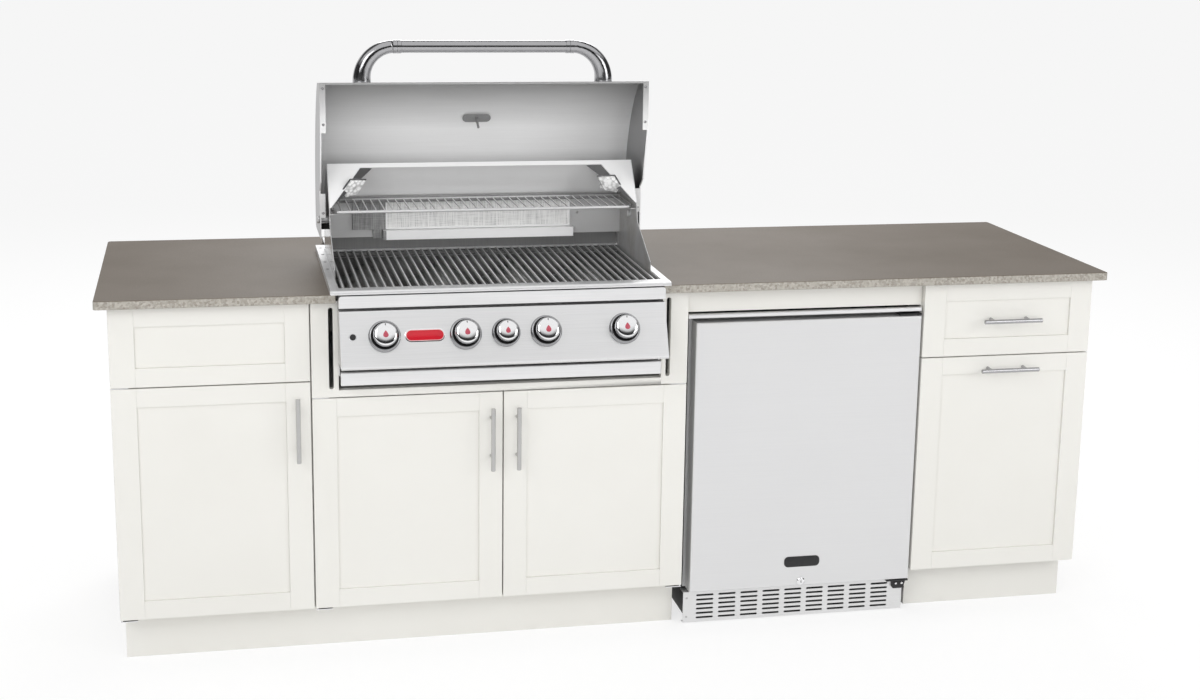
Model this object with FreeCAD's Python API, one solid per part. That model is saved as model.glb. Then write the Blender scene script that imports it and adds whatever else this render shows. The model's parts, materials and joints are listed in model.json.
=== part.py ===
import FreeCAD, Part
import math
import os

# Outdoor kitchen island: left cabinet, wide cabinet with a built-in gas grill,
# fridge bay, right cabinet with a drawer and a waste pull-out, under one top.
# Bench frame: X along the island from its left end, Y back from the door
# faces, Z up from the floor, millimetres. Every shape is moved so that the
# origin is the centre of the footprint before it is written.

V = FreeCAD.Vector

# Cabinet stations along X
X_LEFT = 0.0
X_GRILL = 457.2
X_FRIDGE = 1371.6
X_RIGHT = 1981.2
X_END = 2438.4
# Heights and depths of the cabinets
BOARD = 18.0
BACK_BOARD = 6.0
DOOR = 19.0
CARCASS_FRONT = 21.0
CARCASS_BACK = 705.0
CARCASS_BOTTOM = 114.0
CARCASS_TOP = 876.0
DOOR_BOTTOM = 117.0
SEAM = 682.0
SEAM_GAP = 3.0
FRONT_TOP = 873.0
GRILL_DOOR_TOP = 640.5
SIDE_GAP = 1.5
STILE = 57.0
RAIL = 45.0
PANEL_DEPTH = 6.0
TOE_FRONT = 60.0
TOE_INSET = 10.0
TOE_TOP = 112.0
# Top
SLAB_THICK = 20.0
SLAB_TOP = CARCASS_TOP + SLAB_THICK
SLAB_OVERHANG = 28.0
SLAB_FRONT = -26.0
SLAB_BACK = 735.0
CUT_LEFT = 516.0
CUT_RIGHT = 1302.0
CUT_BACK = 598.0
# Door pivots
PIVOT_INSET = 4.0
PIVOT_PIN = 2.5
PIVOT_FIT = 0.05
PIVOT_DEPTH = 12.0
# Bar handles
BAR_RADIUS = 5.5
BAR_OUT = 34.0
BAR_LENGTH = 156.0
BAR_POSTS = 96.0
# Grill head
BOX_LEFT = 522.0
BOX_RIGHT = 1294.0
SHEET = 2.0
BOX_FRONT = -22.0
BOX_BACK = 560.0
BOX_BOTTOM = 720.0
FLANGE_TOP = 911.0
FLANGE_LEFT = 503.5
FLANGE_RIGHT = 1311.0
FLANGE_FRONT = -60.0
GRATE_TOP = 909.0
GRATE_FRONT = -10.0
GRATE_BACK = 453.0
GRATE_LEDGE = 892.3
REAR_WALL = 435.0
REAR_LIP = 461.0
SHIELD_PEG = 870.2
BURNER_Z = 800.0
VENTURI = 11.0
# Sloped control panel
PANEL_LEFT = 521.0
PANEL_RIGHT = 1295.5
PANEL_TOP = (-60.0, 863.0)
PANEL_FOOT = (-111.0, 744.3)
KNOB_DOWN = 61.0
KNOB_X = [622.9, 811.8, 907.0, 1002.5, 1191.6]
KNOB_SIZE = [1.0, 1.0, 0.9, 1.0, 1.0]
BUTTON_X = 549.9
BEZEL_RADIUS = 37.5
CAP_RADIUS = 29.3
SHAFT_RADIUS = 4.0
SHAFT_FIT = 0.05
# Hood, profile given in the closed pose as (Y, Z)
HOOD_LEFT = 502.0
HOOD_RIGHT = 1312.0
HOOD_SHEET = 2.5
HOOD_PIVOT = (315.0, 1015.0)
HOOD_FACE = [(-33.0, 915.0), (-24.0, 1007.0)]
HOOD_CROWN = [(-24.0, 1007.0), (8.0, 1048.0), (50.0, 1084.0), (95.0, 1112.0), (140.0, 1133.0),
              (193.0, 1150.0), (245.0, 1160.0), (300.0, 1164.0), (352.0, 1162.0)]
HOOD_SIDE_EDGE = [(357.0, 1148.0), (357.0, 985.0), (240.0, 985.0), (215.0, 955.0), (90.0, 918.0),
                  (-32.7, 918.0)]
HOOD_BOLT = 5.0
HANDLE_RADIUS = 15.0
HANDLE_FOOT = 22.0
HANDLE_FEET_X = (607.0, 1205.5)
HANDLE_Y = 266.0
HANDLE_Z = 1444.5
HANDLE_BEND = 78.0
COLLAR_RADIUS = 16.6
COLLAR_LENGTH = 9.0
# Rear canopy of the grill
CANOPY_FOOT = (245.0, 1055.0)
CANOPY_TOP = (320.0, 1153.0)
CANOPY_BACK = (446.0, 1052.0)
CANOPY_GAP = (604.0, 1213.5)
CHEEK_TIP = (32.0, 345.0, 1136.5)
LAMP_MIDDLE = (334.0, 397.0, 1080.0)
LAMP_WIDTH = (30.8, 52.4, 0.0)
LAMP_HEIGHT = (19.2, 7.0, 32.0)
LAMP_DEPTH = 28.0
RACK_Z = 1043.0
RACK_FRONT = 250.0
RACK_BACK = 412.0
# Fridge
FRIDGE_LEFT = 1386.0
FRIDGE_RIGHT = 1976.0
FRIDGE_FRONT = 52.0
FRIDGE_BACK = 640.0
FRIDGE_BOTTOM = 92.0
FRIDGE_TOP = 795.0
FRIDGE_WALL = 28.0
FDOOR = (1392.0, 1978.0, 94.0, 793.5)
FDOOR_THICK = 45.0
FDOOR_AXIS = (1970.0, 8.0)
# Middle of the footprint in the bench frame
MID = V((X_LEFT + X_END) / 2, 304.4, 0)

nodes = {}


def block(x0, x1, y0, y1, z0, z1):
    """Box between two corners."""
    return Part.makeBox(x1 - x0, y1 - y0, z1 - z0, V(x0, y0, z0))


def place(axis, level, a, b):
    """Point of the plane normal to an axis."""
    if axis == "x":
        return V(level, a, b)
    if axis == "y":
        return V(a, level, b)
    return V(a, b, level)


def along(axis, length):
    """Vector along a named axis."""
    return {"x": V(length, 0, 0), "y": V(0, length, 0), "z": V(0, 0, length)}[axis]


def prism(points, axis, start, end):
    """Closed polygon of the plane normal to an axis, extruded from start to end."""
    corners = [place(axis, start, a, b) for a, b in points]
    wire = Part.makePolygon(corners + corners[:1])
    return Part.Face(wire).extrude(along(axis, end - start))


def rod(start, end, radius):
    """Round bar between two points."""
    run = V(*end) - V(*start)
    return Part.makeCylinder(radius, run.Length, V(*start), run)


def slim_rod(start, end, radius, sides=8):
    """Thin level wire between two points, with a few flats for its round."""
    corners = []
    run = V(*end) - V(*start)
    sideways = run.cross(V(0, 0, 1)).normalize()
    for i in range(sides + 1):
        turn = 2 * math.pi * (i + 0.5) / sides
        corners.append(V(*start) + sideways * (radius * math.cos(turn)) + V(0, 0, radius * math.sin(turn)))
    return Part.Face(Part.makePolygon(corners)).extrude(run)


def union(shapes):
    """One solid from overlapping shapes."""
    return shapes[0].multiFuse(shapes[1:]).removeSplitter()


def minus(shape, cutters):
    """Shape with every cutter taken out."""
    for cutter in cutters:
        shape = shape.cut(cutter)
    return shape


def edges_where(shape, test):
    """Edges whose centre passes a test."""
    return [edge for edge in shape.Edges if test(edge, edge.CenterOfMass)]


def straight(edge, axis):
    """True for a straight edge along an axis."""
    if not isinstance(edge.Curve, Part.Line):
        return False
    step = edge.Vertexes[-1].Point - edge.Vertexes[0].Point
    return abs(getattr(step, axis)) > 0.999 * step.Length


def spun(profile, base, direction):
    """Solid of revolution: (radius, height) points turned about a direction from a base point."""
    wire = Part.makePolygon([V(r, 0, h) for r, h in profile] + [V(profile[0][0], 0, profile[0][1])])
    solid = Part.Face(wire).revolve(V(0, 0, 0), V(0, 0, 1), 360)
    turn = FreeCAD.Rotation(V(0, 0, 1), V(*direction))
    solid.Placement = FreeCAD.Placement(V(*base), turn)
    return solid


def faceted(profile, base, direction, sides):
    """Turned shape in a few flats: (radius, height) stations up a direction from a base point."""
    turn = FreeCAD.Rotation(V(0, 0, 1), V(*direction))
    angles = [2 * math.pi * i / sides for i in range(sides)]
    rings = [[V(*base) + turn.multVec(V(r * math.cos(a), r * math.sin(a), h)) for a in angles] for r, h in profile]
    faces = [Part.Face(Part.makePolygon(ring + ring[:1])) for ring in (rings[0], rings[-1])]
    for low, high in zip(rings, rings[1:]):
        for i in range(sides):
            j = (i + 1) % sides
            faces.append(Part.Face(Part.makePolygon([low[i], low[j], high[j], high[i], low[i]])))
    solid = Part.makeSolid(Part.makeShell(faces))
    if solid.Volume < 0:
        solid.reverse()
    return solid


def loft_along(stations):
    """Round bar of changing radius: each station is a point, a direction and a radius."""
    rings = [Part.Wire(Part.makeCircle(radius, V(*point), V(*way))) for point, way, radius in stations]
    return Part.makeLoft(rings, True, False)


def keep(name, *shapes):
    """Remember a node made of one or more separate solids."""
    nodes[name] = shapes[0] if len(shapes) == 1 else Part.makeCompound(list(shapes))


def shaker_front(x0, x1, z0, z1, rail, back):
    """Front with a raised border, butt joints at the rails, and eased front edges."""
    body = block(x0, x1, 0, back, z0, z1)
    rim = edges_where(body, lambda e, c: c.y < 0.01)
    body = body.makeFillet(1.5, rim)
    body = body.cut(block(x0 + STILE, x1 - STILE, -1, PANEL_DEPTH, z0 + rail, z1 - rail))
    joint = 0.5
    for x in (x0 + STILE, x1 - STILE):
        for low, high in ((z0 - 1, z0 + rail), (z1 - rail, z1 + 1)):
            body = body.cut(block(x - joint / 2, x + joint / 2, -1, joint, low, high))
    return body


def bar_handle(centre_x, centre_z, axis):
    """Bar on two posts, standing off the face of a front."""
    half = BAR_LENGTH / 2
    post = BAR_POSTS / 2
    step = V(1, 0, 0) if axis == "x" else V(0, 0, 1)
    middle = V(centre_x, -BAR_OUT, centre_z)
    bar = Part.makeCylinder(BAR_RADIUS, BAR_LENGTH, middle - step * half, step)
    bar = bar.makeChamfer(0.8, edges_where(bar, lambda e, c: isinstance(e.Curve, Part.Circle)))
    parts = [bar]
    for side in (-post, post):
        top = middle + step * side
        parts.append(Part.makeCylinder(4.0, BAR_OUT, V(top.x, -BAR_OUT, top.z), V(0, 1, 0)))
    return union(parts)


def knife_pivots(axis_x, side, door_bottom, door_top, behind):
    """Bottom and top pivot plates with pins; side is +1 when the door runs to the right."""
    near = axis_x - side * (PIVOT_INSET - 1)
    far = axis_x + side * 36
    inner = axis_x + side * (PIVOT_INSET + 11)
    lo, hi = sorted((near, far))
    low_plate = block(lo, hi, 1, 58, TOE_TOP, CARCASS_BOTTOM)
    low_pin = rod((axis_x, PIVOT_INSET, TOE_TOP), (axis_x, PIVOT_INSET, door_bottom + PIVOT_DEPTH - 1), PIVOT_PIN)
    thick = 1.6
    z = behind
    front = block(lo, hi, 1, CARCASS_FRONT - 0.5, z, z + thick)
    a, b = sorted((inner, far))
    rear = block(a, b, 1, 58, z, z + thick)
    top_pin = rod((axis_x, PIVOT_INSET, door_top - PIVOT_DEPTH + 1), (axis_x, PIVOT_INSET, z + thick), PIVOT_PIN)
    return [union([low_plate, low_pin]), union([front, rear, top_pin])]


def pin_holes(axis_x, z0, z1):
    """Blind holes in the bottom and top of a door for its pivots."""
    radius = PIVOT_PIN + PIVOT_FIT
    low = Part.makeCylinder(radius, PIVOT_DEPTH + 1, V(axis_x, PIVOT_INSET, z0 - 1))
    high = Part.makeCylinder(radius, PIVOT_DEPTH + 1, V(axis_x, PIVOT_INSET, z1 - PIVOT_DEPTH))
    return [low, high]


def carcass(x0, x1, rail_top, rail_back):
    """Sides, bottom, back, front and back top rails, and a rail or deck under the upper fronts."""
    left, right = x0 + BOARD, x1 - BOARD
    back = CARCASS_BACK - BACK_BOARD
    return [
        block(x0, left, CARCASS_FRONT, back, CARCASS_BOTTOM, CARCASS_TOP),
        block(right, x1, CARCASS_FRONT, back, CARCASS_BOTTOM, CARCASS_TOP),
        block(left, right, CARCASS_FRONT, back, CARCASS_BOTTOM, CARCASS_BOTTOM + BOARD),
        block(x0, x1, back, CARCASS_BACK, CARCASS_BOTTOM, CARCASS_TOP),
        block(left, right, back - 80, back, CARCASS_TOP - BOARD, CARCASS_TOP),
        block(left, right, CARCASS_FRONT, rail_back, rail_top - BOARD, rail_top),
    ]


def make_bases():
    """Toe-kick frames and the turned feet inside them."""
    frames = []
    for x0, x1 in ((X_LEFT + TOE_INSET, X_FRIDGE - TOE_INSET), (X_RIGHT + TOE_INSET, X_END - TOE_INSET)):
        back = CARCASS_BACK - TOE_INSET
        frames.append(block(x0, x1, TOE_FRONT, TOE_FRONT + 16, 0, TOE_TOP))
        frames.append(block(x0, x1, back - 16, back, 0, TOE_TOP))
        frames.append(block(x0, x0 + 16, TOE_FRONT + 16, back - 16, 0, TOE_TOP))
        frames.append(block(x1 - 16, x1, TOE_FRONT + 16, back - 16, 0, TOE_TOP))
    keep("plinths", *frames)
    tall = [(24, 0), (10, 14), (10, 34), (22, 38), (22, 104), (32, 108), (32, CARCASS_BOTTOM)]
    short = [(18, 0), (18, 6), (7, 8), (7, 16)]
    up = (0, 0, 1)
    feet = [faceted(tall, (x, y, 0), up, 16) for x in (60, 397, 518, 914, 1311, 2042, 2378) for y in (122, 640)]
    feet += [faceted(short, (x, y, 0), up, 12) for x in (1420, 1942) for y in (92, 600)]
    keep("leveling_legs", *feet)


def make_carcasses():
    """Board carcasses of the three cabinets and the rails over the fridge bay."""
    upper_rail = CARCASS_TOP - BOARD
    left = carcass(X_LEFT, X_GRILL, SEAM + 0.7, 101)
    left.append(block(X_LEFT + BOARD, X_GRILL - BOARD, CARCASS_FRONT, 101, upper_rail, CARCASS_TOP))
    left.append(block(X_LEFT + BOARD, X_GRILL - BOARD, 45, 690, 392, 410))
    keep("left_carcass", *left)
    keep("grill_carcass", *carcass(X_GRILL, X_FRIDGE, GRILL_DOOR_TOP + 0.7, 699))
    right = carcass(X_RIGHT, X_END, SEAM + 0.7, 101)
    right.append(block(X_RIGHT + BOARD, X_END - BOARD, CARCASS_FRONT, 101, upper_rail, CARCASS_TOP))
    keep("right_carcass", *right)
    header = block(X_FRIDGE, X_RIGHT, 19, 37, 818, CARCASS_TOP)
    back_rail = block(X_FRIDGE, X_RIGHT, 681, 699, 796, CARCASS_TOP)
    keep("fridge_bay", header, back_rail)


def make_face_frame():
    """Stiles with vent slots and a bottom rail round the grill controls."""
    bottom = GRILL_DOOR_TOP + SEAM_GAP
    parts = []
    for x0, x1, slot in ((X_GRILL + SIDE_GAP, BOX_LEFT, 505.0), (1305.0, X_FRIDGE - SIDE_GAP, 1321.0)):
        stile = block(x0, x1, 0, CARCASS_FRONT, bottom, CARCASS_TOP)
        half = 5.5
        cut = block(slot - half, slot + half, -1, 22, 663 + half, 860 - half)
        for z in (663 + half, 860 - half):
            cut = cut.fuse(rod((slot, -1, z), (slot, 22, z), half))
        parts.append(stile.cut(cut))
    parts.append(block(BOX_LEFT, 1305.0, 0, CARCASS_FRONT, bottom, 660))
    keep("face_frame", *parts)


def make_slab():
    """One-piece top with rounded corners, eased edges and an open-fronted cut-out for the grill."""
    x0, x1 = X_LEFT - SLAB_OVERHANG, X_END + SLAB_OVERHANG
    outline = [(x0, SLAB_FRONT), (CUT_LEFT, SLAB_FRONT), (CUT_LEFT, CUT_BACK), (CUT_RIGHT, CUT_BACK),
               (CUT_RIGHT, SLAB_FRONT), (x1, SLAB_FRONT), (x1, SLAB_BACK), (x0, SLAB_BACK)]
    slab = prism(outline, "z", CARCASS_TOP, SLAB_TOP)
    corners = edges_where(slab, lambda e, c: straight(e, "z") and (c.x < x0 + 1 or c.x > x1 - 1))
    slab = slab.makeFillet(9, corners)
    inner = edges_where(slab, lambda e, c: straight(e, "z") and abs(c.y - CUT_BACK) < 1)
    slab = slab.makeFillet(6, inner)
    top = edges_where(slab, lambda e, c: c.z > SLAB_TOP - 0.01)
    keep("counter_slab", slab.makeChamfer(1.5, top))


def make_left_cabinet_fronts():
    """Fixed upper front, hinged door, its handle and pivots."""
    x0, x1 = X_LEFT + SIDE_GAP, X_GRILL - 1.8
    keep("left_false_front", shaker_front(x0, x1, SEAM + SEAM_GAP, FRONT_TOP, RAIL, CARCASS_FRONT))
    axis = x0 + PIVOT_INSET
    door = shaker_front(x0, x1, DOOR_BOTTOM, SEAM, STILE, DOOR)
    keep("left_door", minus(door, pin_holes(axis, DOOR_BOTTOM, SEAM)))
    keep("left_door_handle", bar_handle(424.5, 573.0, "z"))
    keep("left_door_pivots", *knife_pivots(axis, 1, DOOR_BOTTOM, SEAM, SEAM + 0.7))


def make_grill_doors():
    """Pair of doors under the grill, hinged at their outer edges."""
    x0, x1 = X_GRILL + 1.8, X_FRIDGE - 1.8
    middle = (X_GRILL + X_FRIDGE) / 2
    pivots = []
    for name, a, b, axis, side, grip in (("left", x0, middle - 1.5, x0 + PIVOT_INSET, 1, 885.2),
                                         ("right", middle + 1.5, x1, x1 - PIVOT_INSET, -1, 948.2)):
        door = shaker_front(a, b, DOOR_BOTTOM, GRILL_DOOR_TOP, STILE, DOOR)
        keep("grill_door_" + name, minus(door, pin_holes(axis, DOOR_BOTTOM, GRILL_DOOR_TOP)))
        keep("grill_door_" + name + "_handle", bar_handle(grip, 530.0, "z"))
        pivots += knife_pivots(axis, side, DOOR_BOTTOM, GRILL_DOOR_TOP, GRILL_DOOR_TOP + 0.7)
    keep("grill_door_pivots", *pivots)


def slide_channels(z, length):
    """Pair of steel channels screwed to the cabinet sides, open towards each other."""
    parts = []
    for wall, side in ((X_RIGHT + BOARD, 1), (X_END - BOARD, -1)):
        profile = [(0, 0), (9, 0), (9, 3), (1.5, 1.5), (1.5, 43.5), (9, 42), (9, 45), (0, 45)]
        points = [(wall + side * u, z + v) for u, v in profile]
        parts.append(prism(points, "y", CARCASS_FRONT + 2, CARCASS_FRONT + 2 + length))
    return parts


def slide_runners(z, length):
    """Runner bars on a drawer, riding inside the channels."""
    left = block(X_RIGHT + BOARD + 2.2, X_RIGHT + BOARD + 12.5, CARCASS_FRONT + 3, CARCASS_FRONT + 3 + length,
                 z + 4.5, z + 40.5)
    right = block(X_END - BOARD - 12.5, X_END - BOARD - 2.2, CARCASS_FRONT + 3, CARCASS_FRONT + 3 + length,
                  z + 4.5, z + 40.5)
    return [left, right]


def make_right_cabinet_fronts():
    """Drawer and waste pull-out of the right cabinet."""
    x0, x1 = X_RIGHT + 2.2, X_END - SIDE_GAP
    keep("drawer_front", shaker_front(x0, x1, SEAM + SEAM_GAP, FRONT_TOP, RAIL, DOOR))
    keep("drawer_handle", bar_handle(2211.0, 779.0, "x"))
    a, b = X_RIGHT + BOARD + 12.5, X_END - BOARD - 12.5
    wall = 12.0
    y0, y1 = DOOR, 540.0
    keep("drawer_box",
         block(a, a + wall, y0, y1, 705, 830), block(b - wall, b, y0, y1, 705, 830),
         block(a + wall, b - wall, y0, y0 + wall, 705, 830), block(a + wall, b - wall, y1 - wall, y1, 705, 830),
         block(a + wall, b - wall, y0 + wall, y1 - wall, 711, 717), *slide_runners(720, 500))
    keep("drawer_slides", *slide_channels(720, 510))
    keep("pullout_front", shaker_front(x0, x1, DOOR_BOTTOM, SEAM, STILE, DOOR))
    keep("pullout_handle", bar_handle(2211.0, 651.0, "x"))
    keep("pullout_frame",
         block(a, b, y0, 580, 142, 158), block(a, a + wall, y0, 580, 158, 250),
         block(b - wall, b, y0, 580, 158, 250), block(a + wall, b - wall, 568, 580, 158, 250),
         block(a + wall, b - wall, y0, y0 + wall, 158, 400), *slide_runners(170, 540))
    keep("pullout_slides", *slide_channels(170, 550))
    keep("waste_bins", *[waste_bin(44 + i * 262, 294 + i * 262) for i in range(2)])


def waste_bin(y0, y1):
    """Tapered open bin with a rolled rim."""
    x0, x1 = 2032.0, 2388.0
    low, high, wall = 158.2, 560.0, 2.5
    taper = 16.0

    def ring(inset, z):
        return Part.makePolygon([V(x0 + inset, y0 + inset, z), V(x1 - inset, y0 + inset, z),
                                 V(x1 - inset, y1 - inset, z), V(x0 + inset, y1 - inset, z),
                                 V(x0 + inset, y0 + inset, z)])

    outer = Part.makeLoft([ring(taper + 6, low), ring(6, high)], True, True)
    inner = Part.makeLoft([ring(taper + 6 + wall, low + wall), ring(6 + wall, high + 0.01)], True, True)
    rim = block(x0, x1, y0, y1, high - 12, high - 0.01)
    rim = rim.cut(block(x0 + 6.2, x1 - 6.2, y0 + 6.2, y1 - 6.2, high - 13, high + 1))
    return union([outer, rim]).cut(inner)


def make_fridge_body():
    """Insulated cabinet on a base, its shelves, trim strip, kick grille and hinge brackets."""
    inner_left, inner_right = FRIDGE_LEFT + FRIDGE_WALL, FRIDGE_RIGHT - FRIDGE_WALL
    floor, ceiling, rear = FRIDGE_BOTTOM + FRIDGE_WALL, FRIDGE_TOP - FRIDGE_WALL, FRIDGE_BACK - 45
    shell = block(FRIDGE_LEFT, FRIDGE_RIGHT, FRIDGE_FRONT, FRIDGE_BACK, FRIDGE_BOTTOM, FRIDGE_TOP)
    hollow = block(inner_left, inner_right, FRIDGE_FRONT - 1, rear, floor, ceiling)
    step = block(inner_left, inner_right, rear - 120, rear, floor, floor + 150)
    shell = shell.cut(hollow.cut(step))
    base = [
        block(FRIDGE_LEFT + 4, FRIDGE_LEFT + 7, 60, 636, 16, FRIDGE_BOTTOM),
        block(FRIDGE_RIGHT - 7, FRIDGE_RIGHT - 4, 60, 636, 16, FRIDGE_BOTTOM),
        block(FRIDGE_LEFT + 7, FRIDGE_RIGHT - 7, 633, 636, 16, FRIDGE_BOTTOM),
        block(FRIDGE_LEFT + 7, FRIDGE_RIGHT - 7, 60, 63, 16, FRIDGE_BOTTOM),
        block(FRIDGE_LEFT + 7, FRIDGE_RIGHT - 7, 63, 633, 16, 19),
    ]
    keep("fridge_cabinet", shell, *base)
    can = [(0, 0), (52, 0), (56, 6), (56, 40), (50, 54), (30, 62), (0, 64)]
    keep("fridge_compressor", spun(can, (1800, 520, 19), (0, 0, 1)))
    shelves = []
    for z in (330.0, 470.0, 610.0):
        bars = [slim_rod((inner_left, y, z), (inner_right, y, z), 4) for y in (75, 260, 450)]
        count = 14
        for i in range(count):
            x = inner_left + 12 + i * (inner_right - inner_left - 24) / (count - 1)
            bars.append(slim_rod((x, 72, z + 4), (x, 453, z + 4), 2, 4))
        shelves.append(union(bars))
    keep("fridge_shelves", *shelves)
    strip = block(X_FRIDGE + 2, X_RIGHT - 3, 6, 19, 803, 814)
    strip = strip.makeFillet(3, edges_where(strip, lambda e, c: straight(e, "x") and c.y < 7))
    keep("fridge_trim", strip)
    make_kick_grille()
    x, y = FDOOR_AXIS
    top = union([block(1920, 1978, 2, 110, FRIDGE_TOP, FRIDGE_TOP + 4), rod((x, y, 781), (x, y, 797), 4)])
    low = union([block(1920, 1978, 2, 59, FRIDGE_BOTTOM - 4, FRIDGE_BOTTOM), rod((x, y, 90), (x, y, 106), 4)])
    keep("fridge_hinges", top, low)


def make_kick_grille():
    """Pressed grille with nine columns of rounded slots."""
    x0, x1 = 1382.0, 1971.0
    plate = block(x0, x1, 25, 27, 4, 86)
    plate = plate.fuse(block(x0, x1, 25, 58, 84, 86))
    plate = plate.fuse(block(x0, x1, 25, 40, 4, 6))
    pitch, reach, radius = 58.6, 20.5, 2.6
    end = [(radius * math.cos(math.radians(a)), radius * math.sin(math.radians(a))) for a in (-90, -30, 30, 90)]
    slots = []
    for column in range(9):
        middle = 1410.0 + pitch * (column + 0.5)
        for row in range(6):
            z = 76.0 - 12.0 * row
            outline = [(middle + reach + u, z + v) for u, v in end]
            outline += [(middle - reach - u, z - v) for u, v in end]
            slots.append(prism(outline, "y", 24, 28))
    keep("fridge_grille", plate.removeSplitter().cut(Part.makeCompound(slots)))


def make_fridge_door():
    """Door with rounded edges, name-plate blank, gasket and turning lock."""
    x0, x1, z0, z1 = FDOOR
    door = block(x0, x1, 0, FDOOR_THICK, z0, z1)
    door = door.makeFillet(4, edges_where(door, lambda e, c: c.y < 0.01))
    ax, ay = FDOOR_AXIS
    lock_x, lock_z = 1685.0, 107.0
    door = minus(door, [
        Part.makeCylinder(4 + SHAFT_FIT, 15, V(ax, ay, z0 - 1)),
        Part.makeCylinder(4 + SHAFT_FIT, 15, V(ax, ay, z1 - 14)),
        Part.makeCylinder(8 + SHAFT_FIT, 31, V(lock_x, -1, lock_z), V(0, 1, 0)),
    ])
    plate = block(1639, 1733, -1.2, 0, 146, 174)
    plate = plate.makeFillet(9, edges_where(plate, lambda e, c: straight(e, "y")))
    keep("fridge_door", door, plate)
    outer = block(1398, 1964, FDOOR_THICK, FRIDGE_FRONT - 0.3, 100, 788)
    keep("fridge_gasket", outer.cut(block(1412, 1950, 40, 60, 114, 774)))
    barrel = spun([(0, 0), (8, 0), (8, 26), (10.5, 26), (10.5, 28), (8, 30), (0, 30)],
                  (lock_x, 26, lock_z), (0, -1, 0))
    keep("fridge_lock", barrel.cut(block(lock_x - 1, lock_x + 1, -6, 2, lock_z - 4, lock_z + 4)))


def wall_profile():
    """Side wall of the firebox with the raised part that carries the rack and canopy."""
    low = FLANGE_TOP - SHEET
    return [(BOX_FRONT, BOX_BOTTOM), (BOX_BACK, BOX_BOTTOM), (BOX_BACK, low - 4), (470, low - 4), (446, low),
            CANOPY_BACK, (331, 1151), CANOPY_TOP, CANOPY_FOOT, (234, 1008), (86, 932), (86, low),
            (BOX_FRONT, low)]


def make_firebox():
    """Welded sheet firebox: walls, sloped floor with a drain, rear wall and ledges."""
    left, right = BOX_LEFT + SHEET, BOX_RIGHT - SHEET
    bolt_y, bolt_z = HOOD_PIVOT
    walls = []
    for x in (BOX_LEFT, right):
        hole = rod((x - 1, bolt_y, bolt_z), (x + SHEET + 1, bolt_y, bolt_z), HOOD_BOLT)
        walls.append(prism(wall_profile(), "x", x, x + SHEET).cut(hole))
    front = block(left, right, BOX_FRONT, BOX_FRONT + SHEET, BOX_BOTTOM, FLANGE_TOP - SHEET)
    for x in burner_positions():
        front = front.cut(rod((x, BOX_FRONT - 1, BURNER_Z), (x, BOX_FRONT + SHEET + 1, BURNER_Z), VENTURI + 1))
    rear = prism([(468, BOX_BOTTOM + SHEET), (470, BOX_BOTTOM + SHEET), (470, 946), (437, 948), (437, 1051),
                  (REAR_WALL, 1051), (REAR_WALL, 946), (468, 944)], "x", left, right)
    floor = block(left, right, BOX_FRONT + SHEET, BOX_BACK - SHEET, BOX_BOTTOM, BOX_BOTTOM + SHEET)
    floor = floor.cut(block(868, 946, 20, 430, BOX_BOTTOM - 1, BOX_BOTTOM + SHEET + 1))
    back = block(left, right, BOX_BACK - SHEET, BOX_BACK, BOX_BOTTOM, FLANGE_TOP - SHEET - 4)
    ledges = [block(left, right, BOX_FRONT + SHEET, -6, GRATE_LEDGE - 3, GRATE_LEDGE),
              block(left, right, 446, 468, GRATE_LEDGE - 3, GRATE_LEDGE),
              block(left, right, REAR_LIP, 468, GRATE_TOP - 4, GRATE_TOP + 0.5)]
    pegs = [rod((x, y0, SHIELD_PEG), (x, y1, SHIELD_PEG), 4)
            for x in burner_positions() for y0, y1 in ((BOX_FRONT + SHEET, -8), (424, 468))]
    tabs = [block(x, x + 13, y - 8, y + 8, RACK_Z - 6, RACK_Z - 4)
            for x in (left, right - 13) for y in (RACK_FRONT + 10, RACK_BACK - 4)]
    keep("firebox", *walls, front, rear, floor, back, *ledges, *tabs, *pegs)


def make_flange():
    """Sheet flange that hangs the firebox on the top, with a rolled front lip and vent holes."""
    low = FLANGE_TOP - SHEET
    outline = [(FLANGE_LEFT, -52), (FLANGE_RIGHT, -52), (FLANGE_RIGHT, 531), (1286, 531), (1286, 640),
               (528, 640), (528, 531), (FLANGE_LEFT, 531)]
    plate = prism(outline, "z", low, FLANGE_TOP)
    plate = plate.cut(block(BOX_LEFT, BOX_RIGHT, BOX_FRONT, 470, low - 1, FLANGE_TOP + 1))
    roll = prism([(-52, FLANGE_TOP), (-56, FLANGE_TOP - 0.6), (-59, FLANGE_TOP - 3), (FLANGE_FRONT, FLANGE_TOP - 6),
                  (FLANGE_FRONT, 902), (-58, 902), (-58, FLANGE_TOP - 5.5), (-57, FLANGE_TOP - 4),
                  (-55, FLANGE_TOP - 2.4), (-52, low)], "x", FLANGE_LEFT, FLANGE_RIGHT)
    skirts = [block(FLANGE_LEFT, FLANGE_LEFT + SHEET, SLAB_FRONT, 531, SLAB_TOP, low),
              block(FLANGE_RIGHT - SHEET, FLANGE_RIGHT, SLAB_FRONT, 531, SLAB_TOP, low),
              block(528, 1286, 638, 640, SLAB_TOP, low)]
    pan = union([plate, roll] + skirts)
    cuts = [Part.makeCylinder(4.2, 10, V(x, y, FLANGE_TOP - 5))
            for x in (FLANGE_LEFT + 10, FLANGE_RIGHT - 10) for y in (208, 298, 397, 487)]
    cuts += [block(x0, x1, 83.5, 84.5, FLANGE_TOP - 0.7, FLANGE_TOP + 1)
             for x0, x1 in ((FLANGE_LEFT - 1, BOX_LEFT + 1), (BOX_RIGHT - 1, FLANGE_RIGHT + 1))]
    keep("grill_flange", pan.cut(Part.makeCompound(cuts)))


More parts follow.
